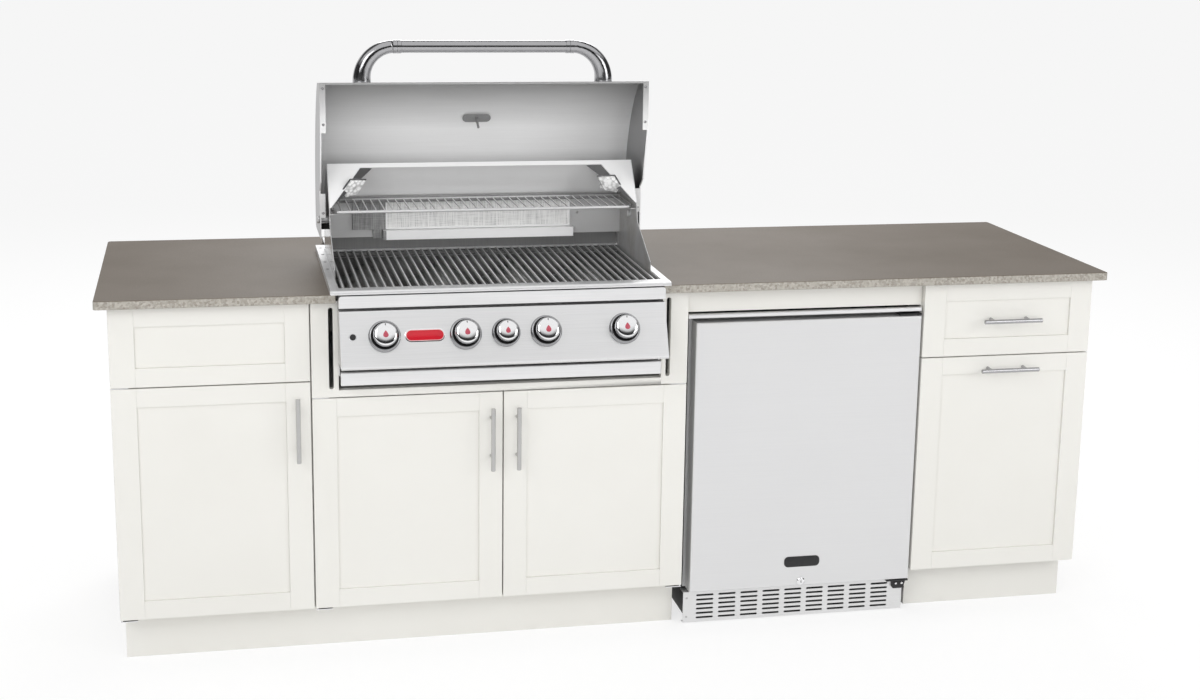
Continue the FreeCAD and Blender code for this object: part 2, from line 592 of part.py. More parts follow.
def canopy_point(up, x, lift=0.0):
    """Point on the sloped canopy face: distance up the slope, position along X, lift off the face."""
    (y0, z0), (y1, z1) = CANOPY_FOOT, CANOPY_TOP
    length = math.hypot(y1 - y0, z1 - z0)
    uy, uz = (y1 - y0) / length, (z1 - z0) / length
    return V(x, y0 + uy * up - uz * lift, z0 + uz * up + uy * lift)


def sheet(corners, thickness_vector):
    """Flat plate from its corner points and a thickness vector."""
    return Part.Face(Part.makePolygon(corners + corners[:1])).extrude(thickness_vector)


def make_canopy():
    """Sloped canopy over the rack: face with a trapezoid opening, ceiling, slanted cheeks and their lamps."""
    left, right = BOX_LEFT + SHEET, BOX_RIGHT - SHEET
    (y0, z0), (y1, z1) = CANOPY_FOOT, CANOPY_TOP
    height = math.hypot(y1 - y0, z1 - z0)
    inward = V(0, z1 - z0, y0 - y1).normalize() * 1.5
    edge = height - 12
    face = sheet([canopy_point(0, left), canopy_point(0, left + 3), canopy_point(edge, CANOPY_GAP[0]),
                  canopy_point(edge, CANOPY_GAP[1]), canopy_point(0, right - 3), canopy_point(0, right),
                  canopy_point(height, right), canopy_point(height, left)], inward)
    ceiling = prism([(y1 + 2, 1151), (331, 1151), CANOPY_BACK, (444, 1051.5), (330, 1149.4), (y1 + 2, 1149.4)],
                    "x", left, right)
    over = prism([(y1, 1149.3), (330, 1149.3), (444, 1051.4), (500, 1051.4), (500, 1250), (y1, 1250)],
                 "x", left - 1, right + 1)
    cheeks = []
    lamps = []
    reach, tip_y, tip_z = CHEEK_TIP
    for low_x, high_x, side in ((left + 3, CANOPY_GAP[0], 1), (right - 3, CANOPY_GAP[1], -1)):
        foot = canopy_point(2, low_x + side * 2) + inward
        crown = canopy_point(edge - 1, high_x) + inward
        tip = V(high_x + side * reach, tip_y, tip_z)
        up = (crown - foot).normalize()
        normal = up.cross(tip - foot).normalize()
        if normal.y > 0:
            normal = normal * -1
        cheeks.append(sheet([foot, crown, tip], normal * -1.2).cut(over))
        middle = V((left + right) / 2 - side * LAMP_MIDDLE[0], LAMP_MIDDLE[1], LAMP_MIDDLE[2])
        wide = V(side * LAMP_WIDTH[0], LAMP_WIDTH[1], LAMP_WIDTH[2]) * 0.5
        tall = V(side * LAMP_HEIGHT[0], LAMP_HEIGHT[1], LAMP_HEIGHT[2]) * 0.5
        behind = wide.cross(tall).normalize() * LAMP_DEPTH
        if behind.y < 0:
            behind = behind * -1
        glass = [middle - wide - tall, middle + wide - tall, middle + wide + tall, middle - wide + tall]
        lamps.append(sheet(glass, behind).cut(over))
    keep("rear_panel", face, ceiling, *cheeks)
    keep("interior_lamps", *lamps)


def make_rack_and_grates():
    """Warming rack with rounded front corners and three cooking grates of welded rods."""
    left, right, bend = 533.0, 1283.0, 22.0
    f, b, z = RACK_FRONT, RACK_BACK, RACK_Z
    route = [(left, b), (left, f + bend)]
    for x, side in ((left + bend, -1), (right - bend, 1)):
        turns = [math.radians(30 * k) for k in range(4)]
        arc = [(x + side * bend * math.cos(t), f + bend - bend * math.sin(t)) for t in turns]
        route += arc if side < 0 else arc[::-1]
    route += [(right, b), (left, b)]
    bars = [slim_rod(p + (z,), q + (z,), 4) for p, q in zip(route, route[1:]) if math.dist(p, q) > 0.1]
    count = 35
    for i in range(count):
        x = left + 20 + i * (right - left - 40) / (count - 1)
        bars.append(slim_rod((x, f, z + 4), (x, b, z + 4), 2, 6))
    keep("warming_rack", union(bars))
    grates = []
    span = (BOX_RIGHT - BOX_LEFT - 8) / 3
    rods = 13
    pitch = span / rods
    high, low = GRATE_TOP - 4, GRATE_TOP - 11
    for section in range(3):
        x0 = BOX_LEFT + 4 + section * span
        bars = []
        for i in range(rods):
            x = x0 + pitch * (i + 0.5)
            bars.append(slim_rod((x, GRATE_FRONT, high), (x, GRATE_BACK, high), 4))
            bars.append(slim_rod((x, GRATE_FRONT - 6, low), (x, GRATE_FRONT, high), 4))
            bars.append(slim_rod((x, GRATE_BACK, high), (x, GRATE_BACK + 6, low), 4))
        for y in (GRATE_FRONT - 1, GRATE_BACK + 1):
            bars.append(slim_rod((x0 + 2, y, GRATE_TOP - 12), (x0 + span - 2, y, GRATE_TOP - 12), 5))
        grates.append(union(bars))
    keep("cooking_grates", *grates)


def burner_positions():
    """X of the four main burners, in line with the four large knobs."""
    return [KNOB_X[0], KNOB_X[1], KNOB_X[3], KNOB_X[4]]


def panel_axis():
    """Outward normal of the sloped panel and the point of its face on the knob line."""
    (y0, z0), (y1, z1) = PANEL_TOP, PANEL_FOOT
    length = math.hypot(y1 - y0, z1 - z0)
    dy, dz = (y1 - y0) / length, (z1 - z0) / length
    return (0.0, dz, -dy), (y0 + dy * KNOB_DOWN, z0 + dz * KNOB_DOWN)


def on_axis(x, out):
    """Point on a control's axis, a distance out from the panel face."""
    normal, (y, z) = panel_axis()
    return (x, y + normal[1] * out, z + normal[2] * out)


def make_burners():
    """Tube burners, their angle shields, the gas manifold and the rear burner."""
    tubes = []
    for x in burner_positions():
        z = BURNER_Z
        body = faceted([(9, 0), (VENTURI, 6), (VENTURI, 56), (19, 86), (19, 456), (15, 464)],
                       (x, -34, z), (0, 1, 0), 24)
        tubes.append(body.cut(rod((x, -35, z), (x, 10, z), 6.5)))
    keep("main_burners", *tubes)
    shields = []
    for x in burner_positions():
        outline = [(x - 78, 836), (x - 4, 876), (x + 4, 876), (x + 78, 836), (x + 78, 834.2), (x + 4, 874.2),
                   (x - 4, 874.2), (x - 78, 834.2)]
        shields.append(prism(outline, "y", -14, 430))
    keep("heat_shields", *shields)
    pipe_y, pipe_z = -45.0, 764.0
    pipe = rod((556, pipe_y, pipe_z), (1258, pipe_y, pipe_z), 10)
    pipe = pipe.cut(rod((555, pipe_y, pipe_z), (1254, pipe_y, pipe_z), 8))
    normal = panel_axis()[0]
    inward = (0, -normal[1], -normal[2])
    parts = [pipe]
    for x in KNOB_X:
        valve = spun([(0, 0), (12, 0), (12, 30), (0, 30)], on_axis(x, -12), inward)
        foot = on_axis(x, -32)
        stem = rod((x, pipe_y + 3, pipe_z + 8), (x, foot[1] + 3, foot[2] - 4), 6)
        valve = union([valve, stem])
        bore = spun([(0, 0), (SHAFT_RADIUS + SHAFT_FIT, 0), (SHAFT_RADIUS + SHAFT_FIT, 16), (0, 16)],
                    on_axis(x, -11), inward)
        parts.append(valve.cut(bore))
    keep("gas_manifold", union(parts))
    x0, x1, z0, z1, y = 592.0, 1155.0, 968.0, 1046.0, 421.0
    frame = block(x0, x1, y, REAR_WALL, z0, z1).cut(block(680, x1 - 4, y - 1, y + 6, z0 + 4, z1 - 4))
    mesh = block(680, x1 - 4, y + 4, y + 6, z0 + 4, z1 - 4)
    shield = prism([(405, 943), (406.5, 943), (406.5, 965.5), (REAR_WALL, 965.5), (REAR_WALL, 967), (405, 967)],
                   "x", 668, 1162)
    feed = block(644, 667, 424, REAR_WALL, 945, z0)
    keep("rear_burner", frame, mesh, shield, feed)


def make_controls():
    """Apron, sloped control panel, bezels, knobs and the light button."""
    apron = block(520.7, 1297, -60, -58.5, 870, 899)
    apron = apron.makeFillet(7, edges_where(apron, lambda e, c: straight(e, "y") and c.z > 890))
    cheeks = [block(520.7, 522.2, -59, -24, 870, 890), block(1295.5, 1297, -59, -24, 870, 890)]
    keep("grill_apron", union([apron] + cheeks))
    normal = panel_axis()[0]
    n = V(*normal)
    skin = 1.5
    down = V(0, PANEL_FOOT[0] - PANEL_TOP[0], PANEL_FOOT[1] - PANEL_TOP[1]).normalize()
    outer = [(-24, 863), PANEL_TOP, PANEL_FOOT, (-113.2, 740.5), (-112.4, 737.3), (-109.5, 735.2), (-105, 735),
             (-24, 735)]
    inner = [(-24, 736.5), (-104.8, 736.5), (-108.8, 736.7), (-111.1, 738.5), (-111.6, 741)]
    foot = V(0, *PANEL_FOOT) - n * skin
    top = V(0, *PANEL_TOP) - n * skin + down * 0.6
    inner += [(foot.y, foot.z), (top.y, 861.5), (-24, 861.5)]
    face = prism(outer + inner, "x", PANEL_LEFT, PANEL_RIGHT)
    ends = [prism(outer, "x", PANEL_LEFT, PANEL_LEFT + skin), prism(outer, "x", PANEL_RIGHT - skin, PANEL_RIGHT)]
    panel = union([face] + ends)
    back = (0, -normal[1], -normal[2])
    cutters = [spun([(0, 0), (SHAFT_RADIUS + 1, 0), (SHAFT_RADIUS + 1, 10), (0, 10)], on_axis(x, 4), back)
               for x in KNOB_X]
    cutters.append(spun([(0, 0), (7.05, 0), (7.05, 10), (0, 10)], on_axis(BUTTON_X, 4), back))
    plate_low = V(*on_axis(670, 0)) + down * -14
    plate = sheet([plate_low, plate_low + V(93, 0, 0), plate_low + V(93, 0, 0) - down * 30, plate_low - down * 30],
                  n * 1.2)
    plate = plate.makeFillet(14.5, edges_where(plate, lambda e, c: e.Length < 2))
    keep("control_panel", minus(panel, cutters), plate)
    rings = []
    for x, size in zip(KNOB_X, KNOB_SIZE):
        r = BEZEL_RADIUS * size
        cap = CAP_RADIUS * size + 1.5
        rings.append(spun([(6, 0), (r, 0), (r, 3), (r - 3, 8), (cap + 2, 11), (cap, 11), (cap, 5), (6, 4)],
                          on_axis(x, 0), normal))
    button_ring = spun([(7.6, 0), (9.5, 0), (9.5, 1.5), (8.6, 2.5), (7.6, 2.5)], on_axis(BUTTON_X, 0), normal)
    keep("knob_bezels", *rings, button_ring)
    for i, (x, size) in enumerate(zip(KNOB_X, KNOB_SIZE)):
        r = CAP_RADIUS * size
        cap = spun([(0, 6), (r, 6), (r, 12), (r - 1.5, 32), (r - 4, 35), (0, 36)], on_axis(x, 0), normal)
        shaft = spun([(0, -26), (SHAFT_RADIUS, -26), (SHAFT_RADIUS, 8), (0, 8)], on_axis(x, 0), normal)
        keep("knob_%d" % (i + 1), union([cap, shaft]))
    keep("light_button", spun([(0, -8), (7, -8), (7, 4), (6, 5), (0, 5)], on_axis(BUTTON_X, 0), normal))


def make_drip_tray():
    """Shallow pan with a formed front, riding on two angle rails."""
    face = prism([(-44, 683.5), (-43.2, 681.8), (-41.5, 681), (-30, 681), (-30, 713), (-41.5, 713), (-43.2, 712.2),
                  (-44, 710.5)], "x", 524.6, 1293)
    pan = block(530.5, 1285.5, -30, 470, 682, 702.8).cut(block(532, 1284, -28.5, 468.5, 683.5, 704))
    rims = [block(524.8, 531, -30, 470, 701.3, 702.8), block(1285, 1291.2, -30, 470, 701.3, 702.8)]
    keep("drip_tray", union([face, pan] + rims))
    rails = []
    for wall, side in ((BOX_LEFT, 1), (BOX_RIGHT, -1)):
        profile = [(0, 699), (8, 699), (8, 700.8), (1.8, 700.8), (1.8, 718), (14, 718), (14, BOX_BOTTOM),
                   (0, BOX_BOTTOM)]
        rails.append(prism([(wall + side * u, v) for u, v in profile], "y", -18, 480))
    keep("drip_tray_rails", *rails)


def opened(y, z):
    """Point of the hood's closed profile, carried to the open pose about its pivot."""
    py, pz = HOOD_PIVOT
    return (py + z - pz, pz - (y - py))


def shifted(points, distance):
    """Open polyline moved inwards (to the right of its direction) by a distance."""
    moved = []
    for i, (y, z) in enumerate(points):
        a = points[max(i - 1, 0)]
        b = points[min(i + 1, len(points) - 1)]
        length = math.hypot(b[0] - a[0], b[1] - a[1])
        ty, tz = (b[0] - a[0]) / length, (b[1] - a[1]) / length
        moved.append((y + tz * distance, z - ty * distance))
    return moved


def hood_solid(x0, x1, inset):
    """Prism of the hood's profile, its crown and face moved inwards by an inset."""
    crown = shifted(HOOD_CROWN, inset)
    face = [(HOOD_FACE[0][0] + inset, HOOD_FACE[0][1] - (20 if inset else 0)), crown[0]]
    edge = list(HOOD_SIDE_EDGE)
    if inset:
        edge = [(crown[-1][0] + 20, crown[-1][1]), (400.0, 880.0), (HOOD_FACE[0][0] + inset, 880.0)]
        face = face[1:]
    spline = Part.BSplineCurve()
    spline.interpolate([V(x0, *opened(y, z)) for y, z in crown])
    line = [V(x0, *opened(y, z)) for y, z in [crown[-1]] + edge + face]
    wire = Part.Wire([spline.toShape()] + Part.makePolygon(line).Edges)
    return Part.Face(wire).extrude(V(x1 - x0, 0, 0))


def hood_box(x0, x1, y0, y1, z0, z1):
    """Box given in the closed pose, carried to the open pose."""
    a, b = opened(y0, z0), opened(y1, z1)
    return block(x0, x1, min(a[0], b[0]), max(a[0], b[0]), min(a[1], b[1]), max(a[1], b[1]))


def make_hood():
    """Rolled hood in its open pose, its handle, pivot bolts, side buffers and thermometer."""
    py, pz = HOOD_PIVOT
    outer = hood_solid(HOOD_LEFT, HOOD_RIGHT, 0)
    inner = hood_solid(HOOD_LEFT + 3, HOOD_RIGHT - 3, HOOD_SHEET)
    shell = outer.cut(inner)
    returns = []
    for x0, x1 in ((HOOD_LEFT + 2, HOOD_LEFT + 14), (HOOD_RIGHT - 14, HOOD_RIGHT - 2)):
        returns.append(hood_box(x0, x1, -31, 88, 918, 920))
        returns.append(hood_box(x0, x1, 246, 306, 985, 987))
    shell = union([shell] + returns)
    bolts = [rod((HOOD_LEFT - 1, py, pz), (HOOD_LEFT + 4, py, pz), HOOD_BOLT + SHAFT_FIT),
             rod((HOOD_RIGHT - 4, py, pz), (HOOD_RIGHT + 1, py, pz), HOOD_BOLT + SHAFT_FIT)]
    a, b = V(0, *opened(50, 1084)), V(0, *opened(95, 1112))
    out = V(0, a.z - b.z, b.y - a.y).normalize()
    if out.y < 0:
        out = out * -1
    seat = V(906, (a.y + b.y) / 2, (a.z + b.z) / 2)
    shell = minus(shell, bolts + [Part.makeCylinder(5, 60, seat - out * 30, out)])
    keep("hood_shell", shell)
    dial = spun([(0, -10), (31, -10), (31, 6), (28, 9), (0, 9)], seat, out).cut(outer)
    stem = Part.makeCylinder(4.5, 24, seat - out * 20, out).fuse(Part.makeCylinder(3, 34, seat - out * 44, out))
    strip = block(870, 942, -12, 12, -2, 0)
    strip = strip.makeFillet(11.5, edges_where(strip, lambda e, c: straight(e, "z")))
    strip.Placement = FreeCAD.Placement(V(0, seat.y, seat.z) - out * 5, FreeCAD.Rotation(V(0, 0, 1), out))
    keep("thermometer", union([dial, stem]), strip.cut(stem))
    stops = [block(x0, x1, py - 15, py - 3, pz - 22, pz - 9.5)
             for x0, x1 in ((HOOD_LEFT + 3.5, BOX_LEFT), (BOX_RIGHT, HOOD_RIGHT - 3.5))]
    keep("hood_pivots", pivot_bolt(HOOD_LEFT, 1, BOX_LEFT - HOOD_LEFT),
         pivot_bolt(HOOD_RIGHT, -1, HOOD_RIGHT - BOX_RIGHT), *stops)
    keep("hood_handle", tapered_handle())


def pivot_bolt(x, side, gap):
    """Bolt through the hood side and the firebox wall, with its head, spacer and nut."""
    py, pz = HOOD_PIVOT
    nut = gap + SHEET
    profile = [(0, -6), (7, -6), (9, -4), (9, -0.5), (HOOD_BOLT, -0.5), (HOOD_BOLT, 3.5), (8, 3.5), (8, gap),
               (HOOD_BOLT, gap), (HOOD_BOLT, nut), (8, nut), (8, nut + 6), (0, nut + 6)]
    return spun(profile, (x, py, pz), (side, 0, 0))


def tapered_handle():
    """Tubular handle: straight bar, collared to tapered elbows that stand on the hood's face."""
    foot_z = opened(*HOOD_FACE[1])[1]
    bend_z = HANDLE_Z - HANDLE_BEND
    steps = 6
    left, right = HANDLE_FEET_X
    parts = []
    for x, side in ((left, 1), (right, -1)):
        stations = [((x, HANDLE_Y, foot_z - 6), (0, 0, 1), HANDLE_FOOT)]
        for i in range(steps + 1):
            angle = math.pi / 2 * i / steps
            point = (x + side * HANDLE_BEND * (1 - math.cos(angle)), HANDLE_Y, bend_z + HANDLE_BEND * math.sin(angle))
            radius = HANDLE_FOOT + (HANDLE_RADIUS - HANDLE_FOOT) * i / steps
            stations.append((point, (side * math.sin(angle), 0, math.cos(angle)), radius))
        parts.append(loft_along(stations))
    first, last = left + HANDLE_BEND, right - HANDLE_BEND
    parts.append(rod((first, HANDLE_Y, HANDLE_Z), (last, HANDLE_Y, HANDLE_Z), HANDLE_RADIUS))
    for x in (first - 2, last + 2 - COLLAR_LENGTH):
        parts.append(rod((x, HANDLE_Y, HANDLE_Z), (x + COLLAR_LENGTH, HANDLE_Y, HANDLE_Z), COLLAR_RADIUS))
    return union(parts).cut(hood_solid(HOOD_LEFT, HOOD_RIGHT, 0))


def write_nodes():
    """Move every node to the row origin, write it, and print the overall box."""
    os.makedirs("parts", exist_ok=True)
    overall = None
    for name, shape in nodes.items():
        shape.translate(V(0, 0, 0) - MID)
        overall = shape.BoundBox if overall is None else overall.united(shape.BoundBox)
        shape.exportStep("parts/" + name + ".step")
    print(len(nodes), "nodes, box", overall)


make_bases()
make_carcasses()
make_face_frame()
make_slab()
make_left_cabinet_fronts()
make_grill_doors()
make_right_cabinet_fronts()
make_fridge_body()
make_fridge_door()
make_firebox()
make_flange()
make_canopy()
make_rack_and_grates()
make_burners()
make_controls()
make_drip_tray()
make_hood()
write_nodes()
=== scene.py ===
"""Looks of an outdoor kitchen island: painted cabinets, stone top, gas grill with raised hood, fridge.

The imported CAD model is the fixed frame. This script gives every node a procedural finish, models the
finer pieces that stand for plain nodes, and sets up a pale studio with one camera.
"""

import json
import logging
import math
from dataclasses import dataclass
from enum import Enum
from typing import Callable, Dict, List, Optional, Sequence, Tuple, Union

import bmesh
import bpy
from mathutils import Matrix, Vector

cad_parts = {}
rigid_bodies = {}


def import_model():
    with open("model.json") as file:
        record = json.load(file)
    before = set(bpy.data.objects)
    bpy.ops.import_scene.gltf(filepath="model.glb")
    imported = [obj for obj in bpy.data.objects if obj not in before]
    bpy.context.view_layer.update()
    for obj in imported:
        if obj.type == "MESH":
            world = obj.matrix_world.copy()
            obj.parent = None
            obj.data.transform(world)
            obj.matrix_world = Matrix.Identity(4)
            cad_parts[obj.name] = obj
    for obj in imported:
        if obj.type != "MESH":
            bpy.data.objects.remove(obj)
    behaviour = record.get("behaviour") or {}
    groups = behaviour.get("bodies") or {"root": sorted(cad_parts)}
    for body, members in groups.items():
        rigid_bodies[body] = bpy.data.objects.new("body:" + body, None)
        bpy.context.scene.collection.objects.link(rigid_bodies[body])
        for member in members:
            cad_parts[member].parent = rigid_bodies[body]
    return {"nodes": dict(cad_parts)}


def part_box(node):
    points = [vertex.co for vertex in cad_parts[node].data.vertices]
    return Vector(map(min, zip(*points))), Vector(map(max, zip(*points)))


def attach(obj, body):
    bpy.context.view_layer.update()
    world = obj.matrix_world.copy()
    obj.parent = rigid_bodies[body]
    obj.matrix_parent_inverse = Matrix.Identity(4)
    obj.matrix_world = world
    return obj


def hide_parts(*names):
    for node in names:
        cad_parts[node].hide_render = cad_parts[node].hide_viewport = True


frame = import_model()

LOG = logging.getLogger("island")
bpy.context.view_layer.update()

Pair = Tuple[float, float]
Point = Tuple[float, float, float]
Colour = Tuple[float, float, float]
Profile = Tuple[Pair, ...]
Piece = bpy.types.Object
Material = bpy.types.Material
Test = Callable[[Vector, Vector], bool]
Scale = Union[float, Point]

MM = 0.001
MID_X = 1219.2
MID_Y = 304.4
WELD = 0.00001
SMOOTH_ANGLE = 32.0
BOARD_ANGLE = 40.0
ROD_ANGLE = 65.0
TUBE_ANGLE = 50.0
PIPE_ANGLE = 40.0
EASE_ANGLE = 30.0
FLAT_ANGLE = 0.3
CORNER_STEPS = 6
SQUARE = 0.9
STEEP = 0.5
SLANT = 0.2


def at(x: float, y: float, z: float) -> Vector:
    """Turn a point of the bench frame into the model's frame.

    Args:
        x: Millimetres from the island's left end.
        y: Millimetres back from the door faces.
        z: Millimetres above the floor.

    Returns:
        The point in metres, with the origin at the centre of the footprint.
    """
    return Vector(((x - MID_X) * MM, (y - MID_Y) * MM, z * MM))


def across(x: float) -> float:
    """Model X of a bench X."""
    return at(x, 0.0, 0.0).x


def back(y: float) -> float:
    """Model Y of a bench Y."""
    return at(0.0, y, 0.0).y


def above(z: float) -> float:
    """Model Z of a bench Z."""
    return at(0.0, 0.0, z).z


def grey(level: float, tint: float = 0.0) -> Colour:
    """Grey of a level, a little bluer by the tint."""
    return (level, level, level + tint)


def rounded(width: float, height: float, corner: float) -> List[Pair]:
    """Outline of a rectangle with rounded corners about its centre.

    Args:
        width: Its width in millimetres.
        height: Its height.
        corner: The corners' radius.

    Returns:
        Places across and up, from the right side round.
    """
    points = []
    for quarter, (right, top) in enumerate(((1, 1), (-1, 1), (-1, -1), (1, -1))):
        for step in range(CORNER_STEPS + 1):
            angle = math.pi / 2 * (quarter + step / CORNER_STEPS)
            points.append((right * (width / 2 - corner) + corner * math.cos(angle),
                           top * (height / 2 - corner) + corner * math.sin(angle)))
    return points


class Axis(Enum):
    """The three directions of the model."""

    X = 0
    Y = 1
    Z = 2

    def unit(self, sign: float = 1.0) -> Vector:
        """Unit vector along this axis, with the given sign."""
        return Vector([sign * (axis == self.value) for axis in range(3)])


class Op(Enum):
    """What a math node does."""

    ADD = "ADD"
    TIMES = "MULTIPLY"
    SIZE = "ABSOLUTE"
    LESSER = "MINIMUM"
    GREATER = "MAXIMUM"


class Part(Enum):
    """What edit mode selects."""

    CORNER = "VERT"
    EDGE = "EDGE"
    FACE = "FACE"


class Slot(Enum):
    """Names of the record's material slots, passed along with the pieces but not used."""

    CABINET = "cabinet"
    LINER = "liner"
    SLAB = "slab"
    STEEL = "steel"
    BRIGHT = "bright"
    BLACK = "black"


class Nodes:
    """Small builder for the nodes of a shader tree."""

    def __init__(self, tree: bpy.types.NodeTree) -> None:
        """Keep the tree."""
        self.tree = tree

    def add(self, kind: str, **settings: object) -> bpy.types.Node:
        """Add a node and set its properties.

        Args:
            kind: The node's type without the ShaderNode prefix.
            **settings: Properties of the node.

        Returns:
            The new node.
        """
        node = self.tree.nodes.new("ShaderNode" + kind)
        for key, value in settings.items():
            setattr(node, key, value)
        return node

    def join(self, source: object, target: object) -> None:
        """Link an output socket to an input socket."""
        self.tree.links.new(source, target)

    def feed(self, target: object, value: object) -> None:
        """Set an input to a constant, or link it where the value is a socket.

        Args:
            target: The input socket.
            value: A number, a tuple or an output socket.
        """
        if isinstance(value, bpy.types.NodeSocket):
            self.join(value, target)
        elif target.type == "RGBA":
            target.default_value = (*value, 1.0)
        else:
            target.default_value = value

    def run(self, kind: str, output: Union[str, int], inputs: Dict[Union[str, int], object],
            **settings: object) -> object:
        """Add a node and feed it.

        Args:
            kind: The node's type without the ShaderNode prefix.
            output: The output that is taken.
            inputs: Values or sockets by input.
            **settings: Properties of the node.

        Returns:
            The output socket.
        """
        node = self.add(kind, **settings)
        for key, value in inputs.items():
            self.feed(node.inputs[key], value)
        return node.outputs[output]

    def parts(self, vector: object) -> Sequence[object]:
        """Split a vector.

        Args:
            vector: The vector's socket.

        Returns:
            Its X, Y and Z sockets.
        """
        node = self.add("SeparateXYZ")
        self.join(vector, node.inputs["Vector"])
        return [node.outputs[axis.value] for axis in Axis]

    def ramp(self, value: object, stops: Sequence[Tuple[float, Colour]]) -> object:
        """Colour ramp of a value.

        Args:
            value: The value socket.
            stops: Places and colours.

        Returns:
            The colour socket.
        """
        node = self.add("ValToRGB")
        elements = node.color_ramp.elements
        while len(elements) < len(stops):
            elements.new(0.5)
        for element, (place, colour) in zip(elements, stops):
            element.position = place
            element.color = (*colour, 1.0)
        self.join(value, node.inputs["Fac"])
        return node.outputs["Color"]

    def level(self, value: object, stops: Profile) -> object:
        """Grey level from a value by pairs of place and level."""
        return self.ramp(value, [(place, grey(level)) for place, level in stops])

    def span(self, value: object, low: float, high: float, start: float = 0.0, end: float = 1.0) -> object:
        """Map a value from the range start to end onto low to high, clamped."""
        return self.run("MapRange", "Result", {"Value": value, "From Min": start, "From Max": end,
                                               "To Min": low, "To Max": high})

    def math(self, operation: Op, first: object, second: object = 0.0) -> object:
        """Result of a math operation on values or sockets."""
        return self.run("Math", "Value", {0: first, 1: second}, operation=operation.value)

    def blend(self, share: object, first: object, second: object) -> object:
        """Mix two colours or colour sockets by a share."""
        return self.run("Mix", 2, {"Factor": share, 6: first, 7: second}, data_type="RGBA")

    def layer(self, under: object, over: Colour, value: object, most: float, start: float,
              end: float) -> object:
        """Lay a colour over another, from none of it to a share as a value runs from start to end."""
        return self.blend(self.span(value, 0.0, most, start, end), under, over)


class Graph(Nodes):
    """Builder for one material, over the coordinates of the object that wears it."""

    def __init__(self, name: str) -> None:
        """Start an empty material.

        Args:
            name: The material's name.
        """
        self.material = bpy.data.materials.new(name)
        self.material.use_nodes = True
        super().__init__(self.material.node_tree)
        self.tree.nodes.clear()
        self.output = self.add("OutputMaterial")
        self.coordinates = self.add("TexCoord").outputs["Object"]

    def stretched(self, scale: Scale) -> object:
        """Object coordinates scaled along each axis, or along all of them alike."""
        scales = scale if isinstance(scale, tuple) else (scale, scale, scale)
        return self.run("Mapping", "Vector", {"Vector": self.coordinates, "Scale": scales})

    def noise(self, scale: Scale, detail: float = 2.0, roughness: float = 0.5, twist: float = 0.0) -> object:
        """Noise value around 0.5; the scale is in waves per metre and the detail in octaves."""
        return self.run("TexNoise", "Fac", {"Vector": self.stretched(scale), "Scale": 1.0, "Detail": detail,
                                            "Roughness": roughness, "Distortion": twist})

    def cells(self, scale: Scale, output: str = "Distance") -> object:
        """Voronoi cells over scaled object coordinates."""
        return self.run("TexVoronoi", output, {"Vector": self.stretched(scale), "Scale": 1.0})

    def facing(self, axis: Axis) -> object:
        """How much the surface faces along an axis, from 0 to 1, whichever way."""
        normal = self.add("NewGeometry").outputs["Normal"]
        return self.math(Op.SIZE, self.parts(normal)[axis.value])

    def bump(self, height: object, strength: float, distance: float,
             under: Optional[object] = None) -> object:
        """Normal from a height value.

        Args:
            height: The height socket.
            strength: Share of the bump that shows.
            distance: Depth in metres.
            under: Another bump's normal to build on.

        Returns:
            The normal socket.
        """
        inputs = {"Height": height, "Strength": strength, "Distance": distance}
        if under is not None:
            inputs["Normal"] = under
        return self.run("Bump", "Normal", inputs)

    def surface(self, colour: object, rough: object, normal: object, **more: object) -> Material:
        """Finish the material with a Principled shader.

        Args:
            colour: Its base colour.
            rough: Its roughness.
            normal: Its normal.
            **more: Other sockets by name, with underscores for spaces.

        Returns:
            The finished material.
        """
        inputs = {"Base Color": colour, "Roughness": rough, "Normal": normal}
        inputs.update((key.replace("_", " "), value) for key, value in more.items())
        self.join(self.run("BsdfPrincipled", "BSDF", inputs), self.output.inputs["Surface"])
        return self.material


@dataclass(frozen=True)
class PaintedBoard:
    """Smooth sprayed paint on cabinet board, with faint mottling and handling marks."""

    name: str = "cream_paint"
    colour: Colour = (0.835, 0.825, 0.785)
    shade: Colour = (0.805, 0.793, 0.75)
    gloss: Pair = (0.34, 0.46)

    def make(self) -> Material:
        """Build the paint."""
        graph = Graph(self.name)
        cloud = graph.noise(2.2, detail=3.0, roughness=0.55)
        smear = graph.noise((14.0, 14.0, 5.0), detail=4.0, roughness=0.6)
        peel = graph.noise(420.0, detail=1.0)
        brush = graph.noise((60.0, 60.0, 9.0))
        colour = graph.layer(self.colour, self.shade, cloud, 1.0, 0.35, 0.75)
        normal = graph.bump(brush, 0.05, 0.0004, graph.bump(peel, 0.08, 0.0002))
        return graph.surface(colour, graph.span(smear, *self.gloss), normal)


